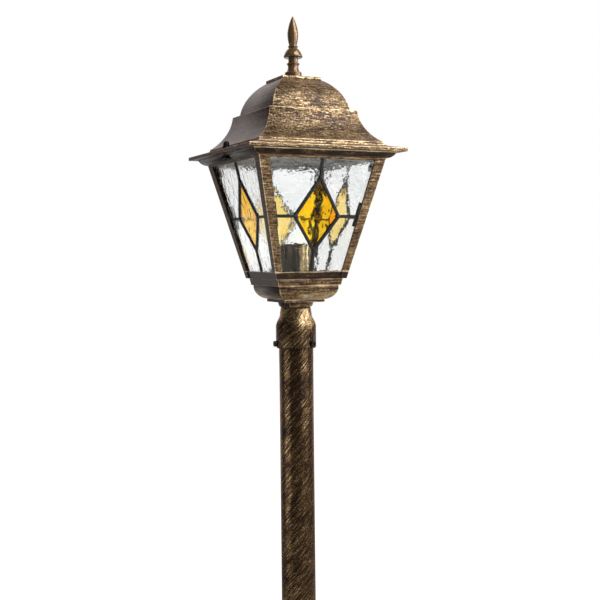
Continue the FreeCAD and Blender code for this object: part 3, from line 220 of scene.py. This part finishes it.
    # Colour, shine and relief from the cover
    ramp = add(tree, "ValToRGB", {"Fac": total})
    set_stops(ramp, COAT)
    colour = ramp.outputs["Color"]
    if bare_above is not None:
        upper = add(tree, "Math", {0: z, 1: bare_above}, operation="GREATER_THAN").outputs[0]
        bare = add(tree, "Math", {0: inside, 1: upper}, operation="MULTIPLY").outputs[0]
        cast = add(tree, "Mix", {"Factor": bare, "A": colour, "B": linear(BARE_CASTING)}, data_type="RGBA")
        colour = cast.outputs["Result"]
    tree.links.new(colour, shader.inputs["Base Color"])
    cover = add(tree, "MapRange", {"Value": total, "From Min": metal_from,
                                   "From Max": metal_from + METAL_SPAN, "To Max": metal}).outputs[0]
    tree.links.new(cover, shader.inputs["Metallic"])
    dull = add(tree, "MapRange", {"Value": flecks, "From Min": NOISE_LOW, "From Max": NOISE_HIGH,
                                  "To Min": rough[0], "To Max": rough[1]}).outputs[0]
    tree.links.new(dull, shader.inputs["Roughness"])
    bump = add(tree, "Bump", {"Height": total, "Strength": relief, "Distance": STROKE_HEIGHT}).outputs[0]
    tree.links.new(bump, shader.inputs["Normal"])
    return material


JOIN_DISTANCE = 0.01 * MM
ARRIS_ANGLE = 32


def finish(name, material, soft_edge=0.0):
    """Gives a node of the frame its material and rounds its sharp edges, as casting and paint leave them."""
    piece = nodes[name]
    piece.data.materials.clear()
    piece.data.materials.append(material)
    if soft_edge:
        piece.modifiers.new("join", "WELD").merge_threshold = JOIN_DISTANCE
        bevel = piece.modifiers.new("soft edges", "BEVEL")
        bevel.width = soft_edge
        bevel.segments = 2
        bevel.limit_method = "ANGLE"
        bevel.angle_limit = math.radians(ARRIS_ANGLE)
        bevel.harden_normals = True


FOOT_EDGES = (5 * MM, 8 * MM, 56 * MM)
foot_gold = dry_brushed_gold("dry_brushed_gold_foot", stroke_length=9 * MM, stroke_width=1.4 * MM,
                             edges=FOOT_EDGES)
finish("foot", foot_gold, soft_edge=0.6 * MM)


# Clamp screws of the foot and the sleeve: M4 socket-head screws in steel, three in each collar, which press
# on the post. They are headed with a hex socket, threaded, then blackened in a hot bath and oiled.

SPOT_HEIGHT = 0.2 * MM


def speckled(name, spot, stops, metallic, rough, bump=0.0, squeeze=(1, 1, 1)):
    """A surface whose colour and gloss vary in spots of a given size, stretched along an axis."""
    material, tree, shader = new_material(name, Metallic=metallic)
    place = add(tree, "TexCoord", {}).outputs["Object"]
    size = [s / spot for s in squeeze]
    along = add(tree, "Mapping", {"Vector": place, "Scale": size}).outputs[0]
    spots = add(tree, "TexNoise", {"Vector": along, "Scale": 1.0, "Detail": 4.0,
                                   "Roughness": 0.6}).outputs[0]
    ramp = add(tree, "ValToRGB", {"Fac": spots})
    set_stops(ramp, stops)
    tree.links.new(ramp.outputs["Color"], shader.inputs["Base Color"])
    gloss = add(tree, "MapRange", {"Value": spots, "From Min": NOISE_LOW, "From Max": NOISE_HIGH,
                                   "To Min": rough[0], "To Max": rough[1]}).outputs[0]
    tree.links.new(gloss, shader.inputs["Roughness"])
    if bump:
        relief = add(tree, "Bump", {"Height": spots, "Strength": bump, "Distance": SPOT_HEIGHT}).outputs[0]
        tree.links.new(relief, shader.inputs["Normal"])
    return material


# Black oxide on steel: matt black, with a dull steel sheen where a key or a hand has rubbed it.
black_oxide = speckled("black_oxide_steel", 1.2 * MM, [(0.3, "#0C0C0C"), (0.6, "#1B1A19"), (0.8, "#3A3835")],
                       metallic=0.5, rough=(0.34, 0.55), bump=0.15)
for name in ("foot_screws", "sleeve_screw_1", "sleeve_screw_2", "sleeve_screw_3"):
    finish(name, black_oxide, soft_edge=0.25 * MM)


# Post: a steel tube, 42 mm across with a 1.5 mm wall, cut to length and clamped in the foot's collar.
# Its gold is brushed round it on the slant. The tube is drawn smooth, so the thin gold mirrors the lights in
# upright bands, with a dark one between them.
BRUSH_TWIST = 42.0
post_gold = dry_brushed_gold("dry_brushed_gold_post", stroke_length=15 * MM, stroke_width=1.6 * MM,
                             twist=BRUSH_TWIST, gold=-0.012, gloss=0.1, rough=(0.2, 0.32), metal=0.9,
                             fleck=1.2 * MM, relief=0.08, metal_from=0.42)
finish("post_tube", post_gold)


# Sleeve: a turned and flared casting over the post's top, held by the three clamp screws.
# Its gold is brushed full, and its barrel below the flared neck is painted darker as painted shade. A rubber
# ring seals it to the tray above.
BARREL_SHADE = (640 * MM, 709 * MM, 14 * MM)
sleeve_gold = dry_brushed_gold("dry_brushed_gold_sleeve", stroke_length=13 * MM, stroke_width=1.4 * MM,
                               twist=BRUSH_TWIST, gold=0.08, sunk=BARREL_SHADE, gloss=0.1, rough=(0.32, 0.44),
                               metal=0.85, broken=1.25, fleck=1.2 * MM, relief=0.12, metal_from=0.44)
finish("post_sleeve", sleeve_gold, soft_edge=0.5 * MM)
# Moulded rubber: matt black with a faint grey bloom.
rubber = speckled("moulded_rubber", 3 * MM, [(0.3, "#0E0E0E"), (0.7, "#1F1E1D")],
                  metallic=0.0, rough=(0.6, 0.75), bump=0.2)
finish("neck_gasket", rubber)


# Tray: a stepped square casting that closes the lantern below, with a quarter-round bowl on a round boss.
# The clamping tube pulls it down on the sleeve. Its gold is brushed along the steps, and its bowl's
# underside is painted lighter as painted light.
TRAY_EDGES = (738 * MM, 754.7 * MM, 763 * MM)
tray_gold = dry_brushed_gold("dry_brushed_gold_tray", stroke_length=22 * MM, stroke_width=1.3 * MM,
                             edges=TRAY_EDGES, hips=True, gold=0.01, under=0.12, broken=0.8)
finish("lantern_tray", tray_gold, soft_edge=0.5 * MM)


# Clamping tube with its washers and nuts, and the other small steel pieces inside, turned or pressed and
# then zinc plated. The tube holds cup, tray, ring and sleeve together.

# Zinc plate: a pale blue-grey metal with a faint cloudy spangle.
zinc = speckled("zinc_plated_steel", 2.5 * MM, [(0.3, "#8C9094"), (0.55, "#A9ADAF"), (0.75, "#C6C8C6")],
                metallic=1.0, rough=(0.28, 0.46))
for name in ("nipple", "nipple_washers", "nipple_nuts", "holder_bracket", "holder_screws", "earth_tag",
             "frame_screws", "pane_plates", "pane_plate_screws", "finial_washer", "finial_nut"):
    finish(name, zinc)


# Lamp holder: a porcelain E27 holder on a bracket bent from strip, in a drawn steel cup on the tray.
# The holder's shell, tongue and wire terminals are pressed from brass.

# Bronzed sheet steel: a shiny brown metal, streaked from top to bottom by the drawing.
bronze = speckled("bronzed_sheet_steel", 5 * MM, [(0.36, "#2E2416"), (0.5, "#7C6C4C"), (0.64, "#BFAF88")],
                  metallic=1.0, rough=(0.14, 0.26), bump=0.1, squeeze=(1, 1, 0.12))
finish("holder_cup", bronze)
# Glazed porcelain: fired white, with a wet gloss from the clear glaze.
GLAZE_IOR = 1.54
porcelain = speckled("glazed_porcelain", 9 * MM, [(0.3, "#DDD9CE"), (0.7, "#EFECE4")],
                     metallic=0.0, rough=(0.08, 0.16))
porcelain.node_tree.nodes["Principled BSDF"].inputs["IOR"].default_value = GLAZE_IOR
finish("socket_body", porcelain, soft_edge=0.3 * MM)
# Pressed brass: yellow metal, cloudy where it has begun to tarnish.
brass = speckled("pressed_brass", 2 * MM, [(0.3, "#8E6C2C"), (0.55, "#BE9848"), (0.78, "#D8BC74")],
                 metallic=1.0, rough=(0.22, 0.4), bump=0.1)
for name in ("thread_shell", "centre_contact", "wire_terminals", "terminal_screws"):
    finish(name, brass)


# Wires from the holder down to a three-way terminal block in the post's top: copper in PVC insulation.
# Brass screws in the moulded block clamp their ends.

# PVC insulation: smooth and slightly waxy, in the usual brown, blue, and green with yellow.
PVC = {"live_wire": ("#3B2014", "#5A3320"), "neutral_wire": ("#143A86", "#2352A8"),
       "earth_wire": ("#2E6B1E", "#9CA820")}
for name, (dark, light) in PVC.items():
    insulation = speckled("pvc_" + name, 5 * MM, [(0.42, dark), (0.58, light)],
                          metallic=0.0, rough=(0.35, 0.5))
    finish(name, insulation)
# Moulded polyamide: milky white, with a soft gloss.
polyamide = speckled("moulded_polyamide", 6 * MM, [(0.3, "#DCDACF"), (0.7, "#ECEAE2")],
                     metallic=0.0, rough=(0.4, 0.55), bump=0.1)
finish("terminal_block", polyamide, soft_edge=0.3 * MM)


# Cage: one aluminium casting with an ovolo rim, four tapered corner posts and a recessed sill, screwed on
# the tray. Its outside is brushed with gold, painted shade darkens its sill, and the rim's inside is left as
# cast.
CAGE_EDGES = (910.6 * MM, 904 * MM, 771.5 * MM)
SILL_SHADE = (763 * MM, 770.5 * MM, 0.0)
RIM_INSIDE = 880 * MM
cage_gold = dry_brushed_gold("dry_brushed_gold_cage", stroke_length=14 * MM, stroke_width=1.0 * MM,
                             edges=CAGE_EDGES, hips=True, gold=0.05, sunk=SILL_SHADE, bare_above=RIM_INSIDE,
                             broken=0.75, side_shade_gold=-0.08)
finish("lantern_frame", cage_gold, soft_edge=0.5 * MM)


# Panes: four pieces of clear water glass around an amber diamond in each side, 3 mm thick.
# Water glass is drawn nearly flat outside and rippled inside, so what lies behind it breaks into scallops.
# The sheets are scored and snapped to shape, and the came holds them.
SIDES = ("front", "right", "back", "left")
PANE_FOOT = Vector((0, -46.2 * MM, 763 * MM))
PANE_RUN = 35.0 * MM
PANE_RISE = 140.5 * MM
GLASS_STEP = 1.6 * MM
MERGE_DISTANCE = 0.05 * MM
CUT_DISTANCE = 0.001 * MM
FACE_DEPTH = 0.1 * MM
RIPPLE_LONG = 12 * MM
RIPPLE_WIDE = 7 * MM
FINE_TIMES = 2.3
MEAN_SHARE = 0.5
BROAD_SHARE = 0.45
FINE_SHARE = 0.26
FINE_SEED = 50
OUTER_SEED = 9
SIDE_SEED = 10
OUTER_SHARE = 0.3
CLEAR_RIPPLE = 0.48 * MM
AMBER_RIPPLE = 0.8 * MM
CREASE_ANGLE = 40


def side_matrix(index):
    """Turns (across, up the slope, outward) of a side into places in the lantern."""
    upright = Matrix.Rotation(math.radians(90) + math.atan2(PANE_RUN, PANE_RISE), 4, "X")
    return Matrix.Rotation(math.radians(90 * index), 4, "Z") @ Matrix.Translation(PANE_FOOT) @ upright


def glass_outlines(name, to_side):
    """Outline, outer and inner depth of each piece of glass in a node, drawn flat on its side."""
    flat = bmesh.new()
    flat.from_mesh(nodes[name].data)
    bmesh.ops.remove_doubles(flat, verts=flat.verts, dist=JOIN_DISTANCE)
    waiting = set(flat.verts)
    found = []
    while waiting:
        group = set()
        queue = [waiting.pop()]
        while queue:
            vert = queue.pop()
            group.add(vert)
            for edge in vert.link_edges:
                other = edge.other_vert(vert)
                if other in waiting:
                    waiting.discard(other)
                    queue.append(other)
        points = [to_side @ vert.co for vert in group]
        outer = max(p.z for p in points)
        inner = min(p.z for p in points)
        rim = [p for p in points if outer - p.z < FACE_DEPTH]
        middle = sum(rim, Vector()) / len(rim)
        rim.sort(key=lambda p: math.atan2(p.y - middle.y, p.x - middle.x))
        found.append((rim, outer, inner))
    flat.free()
    return sorted(found, key=lambda piece: (round(piece[0][0].x, 4), round(piece[0][0].y, 4)))


def ripple(across, up, sheet):
    """Share of the ripple's full depth at a place on a sheet, from 0 to 1."""
    broad = noise.noise(Vector((across / RIPPLE_WIDE, up / RIPPLE_LONG, sheet)))
    fine = noise.noise(Vector((FINE_TIMES * across / RIPPLE_WIDE, FINE_TIMES * up / RIPPLE_LONG,
                               sheet + FINE_SEED)))
    return min(max(MEAN_SHARE + BROAD_SHARE * broad + FINE_SHARE * fine, 0), 1)


def cut_sheet(rim, outer, inner, sheet, depth):
    """Points, sheet faces and cut edges of one piece: a fine grid in its outline, rippled on the inside."""
    low = Vector((min(p.x for p in rim), min(p.y for p in rim)))
    high = Vector((max(p.x for p in rim), max(p.y for p in rim)))
    columns = math.ceil((high.x - low.x) / GLASS_STEP) + 1
    rows = math.ceil((high.y - low.y) / GLASS_STEP) + 1
    grid = bmesh.new()
    verts = [[grid.verts.new((low.x + i * GLASS_STEP, low.y + j * GLASS_STEP, 0)) for i in range(columns)]
             for j in range(rows)]
    for lower, upper in zip(verts, verts[1:]):
        for i in range(columns - 1):
            grid.faces.new((lower[i], lower[i + 1], upper[i + 1], upper[i]))
    for here, there in zip(rim, rim[1:] + rim[:1]):
        outward = Vector((there.y - here.y, here.x - there.x, 0))
        bmesh.ops.bisect_plane(grid, geom=grid.verts[:] + grid.edges[:] + grid.faces[:], dist=CUT_DISTANCE,
                               plane_co=(here.x, here.y, 0), plane_no=outward, clear_outer=True)
    bmesh.ops.remove_doubles(grid, verts=grid.verts, dist=MERGE_DISTANCE)
    grid.verts.index_update()
    count = len(grid.verts)
    points = []
    for vert in grid.verts:
        sunk = OUTER_SHARE * depth * ripple(vert.co.x, vert.co.y, sheet + OUTER_SEED)
        points.append((vert.co.x, vert.co.y, outer - sunk))
    for vert in grid.verts:
        raised = depth * ripple(vert.co.x, vert.co.y, sheet)
        points.append((vert.co.x, vert.co.y, inner + raised))
    faces = [[v.index for v in face.verts] for face in grid.faces]
    faces += [[v.index + count for v in reversed(face.verts)] for face in grid.faces]
    cut = []
    for edge in grid.edges:
        if len(edge.link_faces) == 1:
            loop = edge.link_loops[0]
            a = loop.vert.index
            b = loop.link_loop_next.vert.index
            cut.append([b, a, a + count, b + count])
    grid.free()
    return points, faces, cut


def new_piece(name, points, faces, material):
    """A mesh piece with its material, smooth but for edges sharper than the crease angle."""
    mesh = bpy.data.meshes.new(name)
    mesh.from_pydata(points, [], faces)
    mesh.validate()
    mesh.materials.append(material)
    mesh.shade_smooth()
    mesh.set_sharp_from_angle(angle=math.radians(CREASE_ANGLE))
    piece = bpy.data.objects.new(name, mesh)
    bpy.context.scene.collection.objects.link(piece)
    return piece


# Drawn sheet glass: clear through its depth, its tint in faint streaks along the draw, its face polished by
# the fire and slightly dimpled. Its IOR is a little under that of window glass, as the panes mirror little.
GLASS_IOR = 1.47
STREAK_STRETCH = 0.4
DIMPLE_SIZE = 3.2 * MM


def drawn_glass(name, stops, streak_size, dimple):
    """Glass that is clear through its depth, with its tint in streaks and dimples of a given depth."""
    material, tree, shader = new_material(name, Transmission_Weight=1.0, IOR=GLASS_IOR, Roughness=0.0)
    place = add(tree, "TexCoord", {}).outputs["Object"]
    size = (1 / streak_size, 1 / streak_size, STREAK_STRETCH / streak_size)
    along = add(tree, "Mapping", {"Vector": place, "Scale": size}).outputs[0]
    streaks = add(tree, "TexNoise", {"Vector": along, "Scale": 1.0, "Detail": 3.0}).outputs[0]
    ramp = add(tree, "ValToRGB", {"Fac": streaks})
    set_stops(ramp, stops)
    tree.links.new(ramp.outputs["Color"], shader.inputs["Base Color"])
    dimples = add(tree, "TexNoise", {"Vector": place, "Scale": 1 / DIMPLE_SIZE, "Detail": 1.0}).outputs[0]
    relief = add(tree, "Bump", {"Height": dimples, "Strength": 1.0, "Distance": dimple}).outputs[0]
    tree.links.new(relief, shader.inputs["Normal"])
    return material


water_glass = drawn_glass("clear_water_glass", [(0.35, "#FAFDFC"), (0.65, "#FFFFFF")], 14 * MM, 0.2 * MM)
# Amber glass: tinted in the melt, in lit and shaded copies. The front diamond is a full yellow, the left one
# is drawn a little deeper as painted shade, and those on the right and at the back, seen through another
# pane, are drawn pale as painted light.
AMBER_STREAK = 9 * MM
AMBER_DIMPLE = 0.05 * MM
deep_amber = drawn_glass("deep_amber_glass", [(0.35, "#FFB70A"), (0.5, "#FFCA14"), (0.68, "#FFD836")],
                         AMBER_STREAK, AMBER_DIMPLE)
painted_glare_amber = drawn_glass("pale_amber_glass", [(0.35, "#FFD768"), (0.5, "#FFE284"), (0.68, "#FFEAA0")],
                         AMBER_STREAK, AMBER_DIMPLE)
shaded_amber = drawn_glass("shaded_amber_glass", [(0.35, "#FFB205"), (0.5, "#FFC40E"), (0.68, "#FFD228")],
                           AMBER_STREAK, AMBER_DIMPLE)
AMBER = {"front": deep_amber, "left": shaded_amber, "right": painted_glare_amber, "back": painted_glare_amber}
# Glazing cement: whiting and linseed oil blackened with lampblack, rubbed in under the came. It dries matt
# black on the cut edges of the glass, so that they don't flash white beside the came.
cement = speckled("glazing_cement", 1.5 * MM, [(0.3, "#2A2927"), (0.7, "#4A4844")],
                  metallic=0.0, rough=(0.8, 0.95), bump=0.2)
diamond_corners = {}
for index, side in enumerate(SIDES):
    to_lantern = side_matrix(index)
    to_side = to_lantern.inverted()
    for kind, material, depth in (("clear", water_glass, CLEAR_RIPPLE),
                                  ("amber", AMBER[side], AMBER_RIPPLE)):
        points, faces, edges = [], [], []
        for number, (rim, outer, inner) in enumerate(glass_outlines(f"{kind}_glass_{side}", to_side)):
            if kind == "amber":
                diamond_corners[side] = rim
            sheet = SIDE_SEED * index + number
            more, new_faces, cut = cut_sheet(rim, outer, inner, sheet, depth)
            faces += [[i + len(points) for i in face] for face in new_faces]
            edges += [[i + len(points) for i in face] for face in cut]
            points += [to_lantern @ Vector(p) for p in more]
        pane = new_piece(f"{kind}_pane_{side}", points, faces + edges, material)
        pane.data.materials.append(cement)
        for polygon in pane.data.polygons[len(faces):]:
            polygon.material_index = 1
        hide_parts(f"{kind}_glass_{side}")
        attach(pane, "head")


# Came: the black strips that join the pieces of glass, with short bars where they meet the cage.
# Lead came is drawn with a flange on each face, cut to length and soldered where strips meet.

# Patinated lead: a soft, matt black that is brushed on from outside only. Inside, the lead stays pale grey.
BARE_LEAD = "#B0B3B5"
LEAD_TURNED_IN = (-0.3, -0.6)
patina = speckled("patinated_lead", 2.2 * MM, [(0.3, "#101010"), (0.6, "#1E1E1D"), (0.8, "#363634")],
                  metallic=0.3, rough=(0.36, 0.6), bump=0.25)
tree = patina.node_tree
shader = tree.nodes["Principled BSDF"]
space = add(tree, "TexCoord", {})
turned_out = turned_away(tree, space.outputs["Object"], space.outputs["Normal"])
turned_in = add(tree, "MapRange", {"Value": turned_out, "From Min": LEAD_TURNED_IN[0],
                                   "From Max": LEAD_TURNED_IN[1]}).outputs[0]
black = shader.inputs["Base Color"].links[0].from_socket
lead = add(tree, "Mix", {"Factor": turned_in, "A": black, "B": linear(BARE_LEAD)}, data_type="RGBA")
tree.links.new(lead.outputs["Result"], shader.inputs["Base Color"])
CAME_FACES = (-2.4 * MM, -7.0 * MM)
SOLDER_RISE = 0.45 * MM
SOLDER_LONG = 3.2 * MM
SOLDER_WIDE = 1.9 * MM
RINGS = 4
SPOKES = 20


def solder_joint(centre, half, face, out):
    """Points and faces of one low dome of solder on a came's face; out is +1 outside and -1 inside."""
    dome = [(centre[0], centre[1], face + out * SOLDER_RISE)]
    for ring in range(1, RINGS + 1):
        share = ring / RINGS
        for spoke in range(SPOKES):
            angle = math.tau * spoke / SPOKES
            across = centre[0] + share * half[0] * math.cos(angle)
            up = centre[1] + share * half[1] * math.sin(angle)
            dome.append((across, up, face + out * SOLDER_RISE * (1 - share ** 2)))
    sides = [[0, 1 + s, 1 + (s + 1) % SPOKES] for s in range(SPOKES)]
    for ring in range(RINGS - 1):
        first = 1 + ring * SPOKES
        for s in range(SPOKES):
            t = (s + 1) % SPOKES
            sides.append([first + s, first + SPOKES + s, first + SPOKES + t, first + t])
    return dome, sides if out > 0 else [side[::-1] for side in sides]


for index, side in enumerate(SIDES):
    finish(f"came_{side}", patina, soft_edge=0.25 * MM)
    points, faces = [], []
    for corner in diamond_corners[side]:
        upright = abs(corner.x) < SOLDER_WIDE
        half = (SOLDER_WIDE, SOLDER_LONG) if upright else (SOLDER_LONG, SOLDER_WIDE)
        for face, out in zip(CAME_FACES, (1, -1)):
            more, new_faces = solder_joint(corner, half, face, out)
            faces += [[i + len(points) for i in new_face] for new_face in new_faces]
            points += [side_matrix(index) @ Vector(p) for p in more]
    solder = new_piece(f"solder_joints_{side}", points, faces, patina)
    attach(solder, "head")


# Roof: an ogee casting in two tiers with an overhanging eave and a small plate for the finial, bare inside.
# Two bolts stand in notches of the cage's rim, and black acorn nuts hold the eave down on them.
ROOF_EDGES = (914.8 * MM, 919.8 * MM, 923 * MM, 961.4 * MM, 1002 * MM)
roof_gold = dry_brushed_gold("dry_brushed_gold_roof", stroke_length=9 * MM, stroke_width=1.0 * MM,
                             edges=ROOF_EDGES, hips=True, gold=0.022, bare_above=0.0, broken=1.15)
finish("roof", roof_gold, soft_edge=0.5 * MM)
for name in ("cap_nut_left", "cap_nut_right", "roof_bolts"):
    finish(name, black_oxide, soft_edge=0.25 * MM)


# Finial: a turned spear in aluminium, screwed through the roof's plate by its stud.
# Its gold is rubbed on full over the smooth turning, so that it shines more than the castings do.
finial_gold = dry_brushed_gold("dry_brushed_gold_finial", stroke_length=8 * MM, stroke_width=1.2 * MM,
                               gold=0.05, gloss=0.8, rough=(0.14, 0.2), metal=1.0, broken=0.2,
                               fleck=1.2 * MM)
finish("finial", finial_gold)


# Floor: a plain pale disc that the lamp stands on, far wider than the picture.
# It is painted matt, and it runs up to the paper behind the lamp.
PAPER = (0.43, 0.90, 0.0)
FLOOR_RADIUS = 6.0
FLOOR_SIDES = 96
FLOOR_DROP = 0.2 * MM
SHADE_RING = (0.4, 1.6)
SHADE_GLOW = (0.64, 1.0)
MIRROR_RING = (1.2, 2.4)
MIRROR_GLOW = (0.1, 0.9)


def bounce_count(tree):
    """How often a ray has bounced off a surface on its way; passing through glass isn't counted."""
    path = add(tree, "LightPath", {})
    return add(tree, "Math", {0: path.outputs["Glossy Depth"], 1: path.outputs["Diffuse Depth"]},
               operation="ADD").outputs[0]


floor_mesh = bpy.data.meshes.new("floor")
turns = [math.tau * i / FLOOR_SIDES for i in range(FLOOR_SIDES)]
floor_rim = [(FLOOR_RADIUS * math.cos(turn), FLOOR_RADIUS * math.sin(turn), -FLOOR_DROP) for turn in turns]
floor_mesh.from_pydata(floor_rim, [], [list(range(FLOOR_SIDES))])
floor = bpy.data.objects.new("floor", floor_mesh)
bpy.context.scene.collection.objects.link(floor)
# Floor paint: matt, and white to the camera and through the glass, but for the shadow around the foot.
# Metal mirrors it brightly only where it runs up to the paper.
floor_paint, tree, shader = new_material("floor_paint", Base_Color=linear("#9A9A98"), Roughness=0.9,
                                         Emission_Color=linear("#FFFFFF"))
ground = add(tree, "TexCoord", {}).outputs["Object"]
away = add(tree, "VectorMath", {0: ground, 1: PAPER}, operation="DOT_PRODUCT").outputs["Value"]
mirrored = add(tree, "MapRange", {"Value": away, "From Min": MIRROR_RING[0], "From Max": MIRROR_RING[1],
                                  "To Min": MIRROR_GLOW[0], "To Max": MIRROR_GLOW[1]}).outputs[0]
reach = add(tree, "VectorMath", {0: ground}, operation="LENGTH").outputs["Value"]
seen = add(tree, "MapRange", {"Value": reach, "From Min": SHADE_RING[0], "From Max": SHADE_RING[1],
                              "To Min": SHADE_GLOW[0], "To Max": SHADE_GLOW[1]}).outputs[0]
glow = add(tree, "MapRange", {"Value": bounce_count(tree), "From Min": 0.0, "From Max": 1.0,
                              "To Min": seen, "To Max": mirrored}).outputs[0]
tree.links.new(glow, shader.inputs["Emission Strength"])
floor_mesh.materials.append(floor_paint)


# Studio: white paper behind the lamp, which mirrors in its metal, and a dim room in front of it.
# Straight to the camera and straight through the panes it is white all round.
PAPER_EDGE = (0.2, 0.8)
PAPER_RISE = (0.0, 0.4)
PAPER_GLOW = (0.5, 1.3)
ROOM_GLOW = 0.04
HALF_A_BOUNCE = 0.5
world = bpy.data.worlds.new("studio")
bpy.context.scene.world = world
world.use_nodes = True
tree = world.node_tree
tree.nodes.clear()
unbounced = add(tree, "Math", {0: bounce_count(tree), 1: HALF_A_BOUNCE}, operation="LESS_THAN").outputs[0]
way = add(tree, "TexCoord", {}).outputs["Generated"]
behind = add(tree, "VectorMath", {0: way, 1: PAPER}, operation="DOT_PRODUCT").outputs["Value"]
height = add(tree, "SeparateXYZ", {"Vector": way}).outputs[2]
paper = add(tree, "MapRange", {"Value": behind, "From Min": PAPER_EDGE[0],
                               "From Max": PAPER_EDGE[1]}).outputs[0]
higher = add(tree, "MapRange", {"Value": height, "From Min": PAPER_RISE[0], "From Max": PAPER_RISE[1],
                                "To Min": PAPER_GLOW[0], "To Max": PAPER_GLOW[1]}).outputs[0]
strength = add(tree, "Math", {0: paper, 1: higher, 2: ROOM_GLOW}, operation="MULTIPLY_ADD").outputs[0]
backdrop = add(tree, "Background", {"Color": linear("#FFFFFF"), "Strength": 1.0})
room = add(tree, "Background", {"Color": linear("#FAEFEC"), "Strength": strength})
mix = add(tree, "MixShader", {0: unbounced, 1: room.outputs[0], 2: backdrop.outputs[0]})
add(tree, "OutputWorld", {"Surface": mix.outputs[0]})


# Lights: a large softbox over the front right, a wide one below it, a small one on the right and a weak, low
# one on the left. The wide one and the left one stand as upright bands in the post.
AIM_HEIGHT = 0.85


def softbox(name, azimuth, height, distance, width, tall, power):
    """A rectangular softbox that faces the lantern, at an azimuth from the front towards the right."""
    light = bpy.data.lights.new(name, "AREA")
    light.shape = "RECTANGLE"
    light.size = width
    light.size_y = tall
    light.energy = power
    lamp = bpy.data.objects.new(name, light)
    bpy.context.scene.collection.objects.link(lamp)
    angle = math.radians(azimuth)
    lamp.location = (distance * math.sin(angle), -distance * math.cos(angle), height)
    lamp.rotation_euler = (Vector((0, 0, AIM_HEIGHT)) - lamp.location).to_track_quat("-Z", "Y").to_euler()


softbox("key", azimuth=35, height=2.2, distance=1.4, width=1.6, tall=1.6, power=41)
softbox("front_right", azimuth=34, height=0.9, distance=1.7, width=1.6, tall=1.24, power=15)
softbox("right", azimuth=66, height=1.16, distance=1.3, width=0.5, tall=0.88, power=7)
softbox("left", azimuth=-92, height=0.3, distance=1.6, width=1.2, tall=0.6, power=4)


# Camera: at the height of the lantern's lower end, 25 degrees to the left of the front and looking slightly
# down, so that the frame cuts the post near its middle.
CAMERA_PLACE = (-0.5200, -1.1054, 0.7947)
CAMERA_YAW = 25.443
CAMERA_PITCH = 2.736
CAMERA_ROLL = -0.6
CAMERA_LENS = 60.04
CAMERA_SENSOR = 36.0
view = bpy.data.cameras.new("camera")
view.lens = CAMERA_LENS
view.sensor_width = CAMERA_SENSOR
camera = bpy.data.objects.new("camera", view)
bpy.context.scene.collection.objects.link(camera)
camera.location = CAMERA_PLACE
yaw = Matrix.Rotation(math.radians(-CAMERA_YAW), 3, "Z")
pitch = Matrix.Rotation(math.radians(90 - CAMERA_PITCH), 3, "X")
roll = Matrix.Rotation(math.radians(CAMERA_ROLL), 3, "Z")
camera.rotation_euler = (yaw @ pitch @ roll).to_euler()
bpy.context.scene.camera = camera
bpy.context.scene.view_settings.view_transform = "Standard"
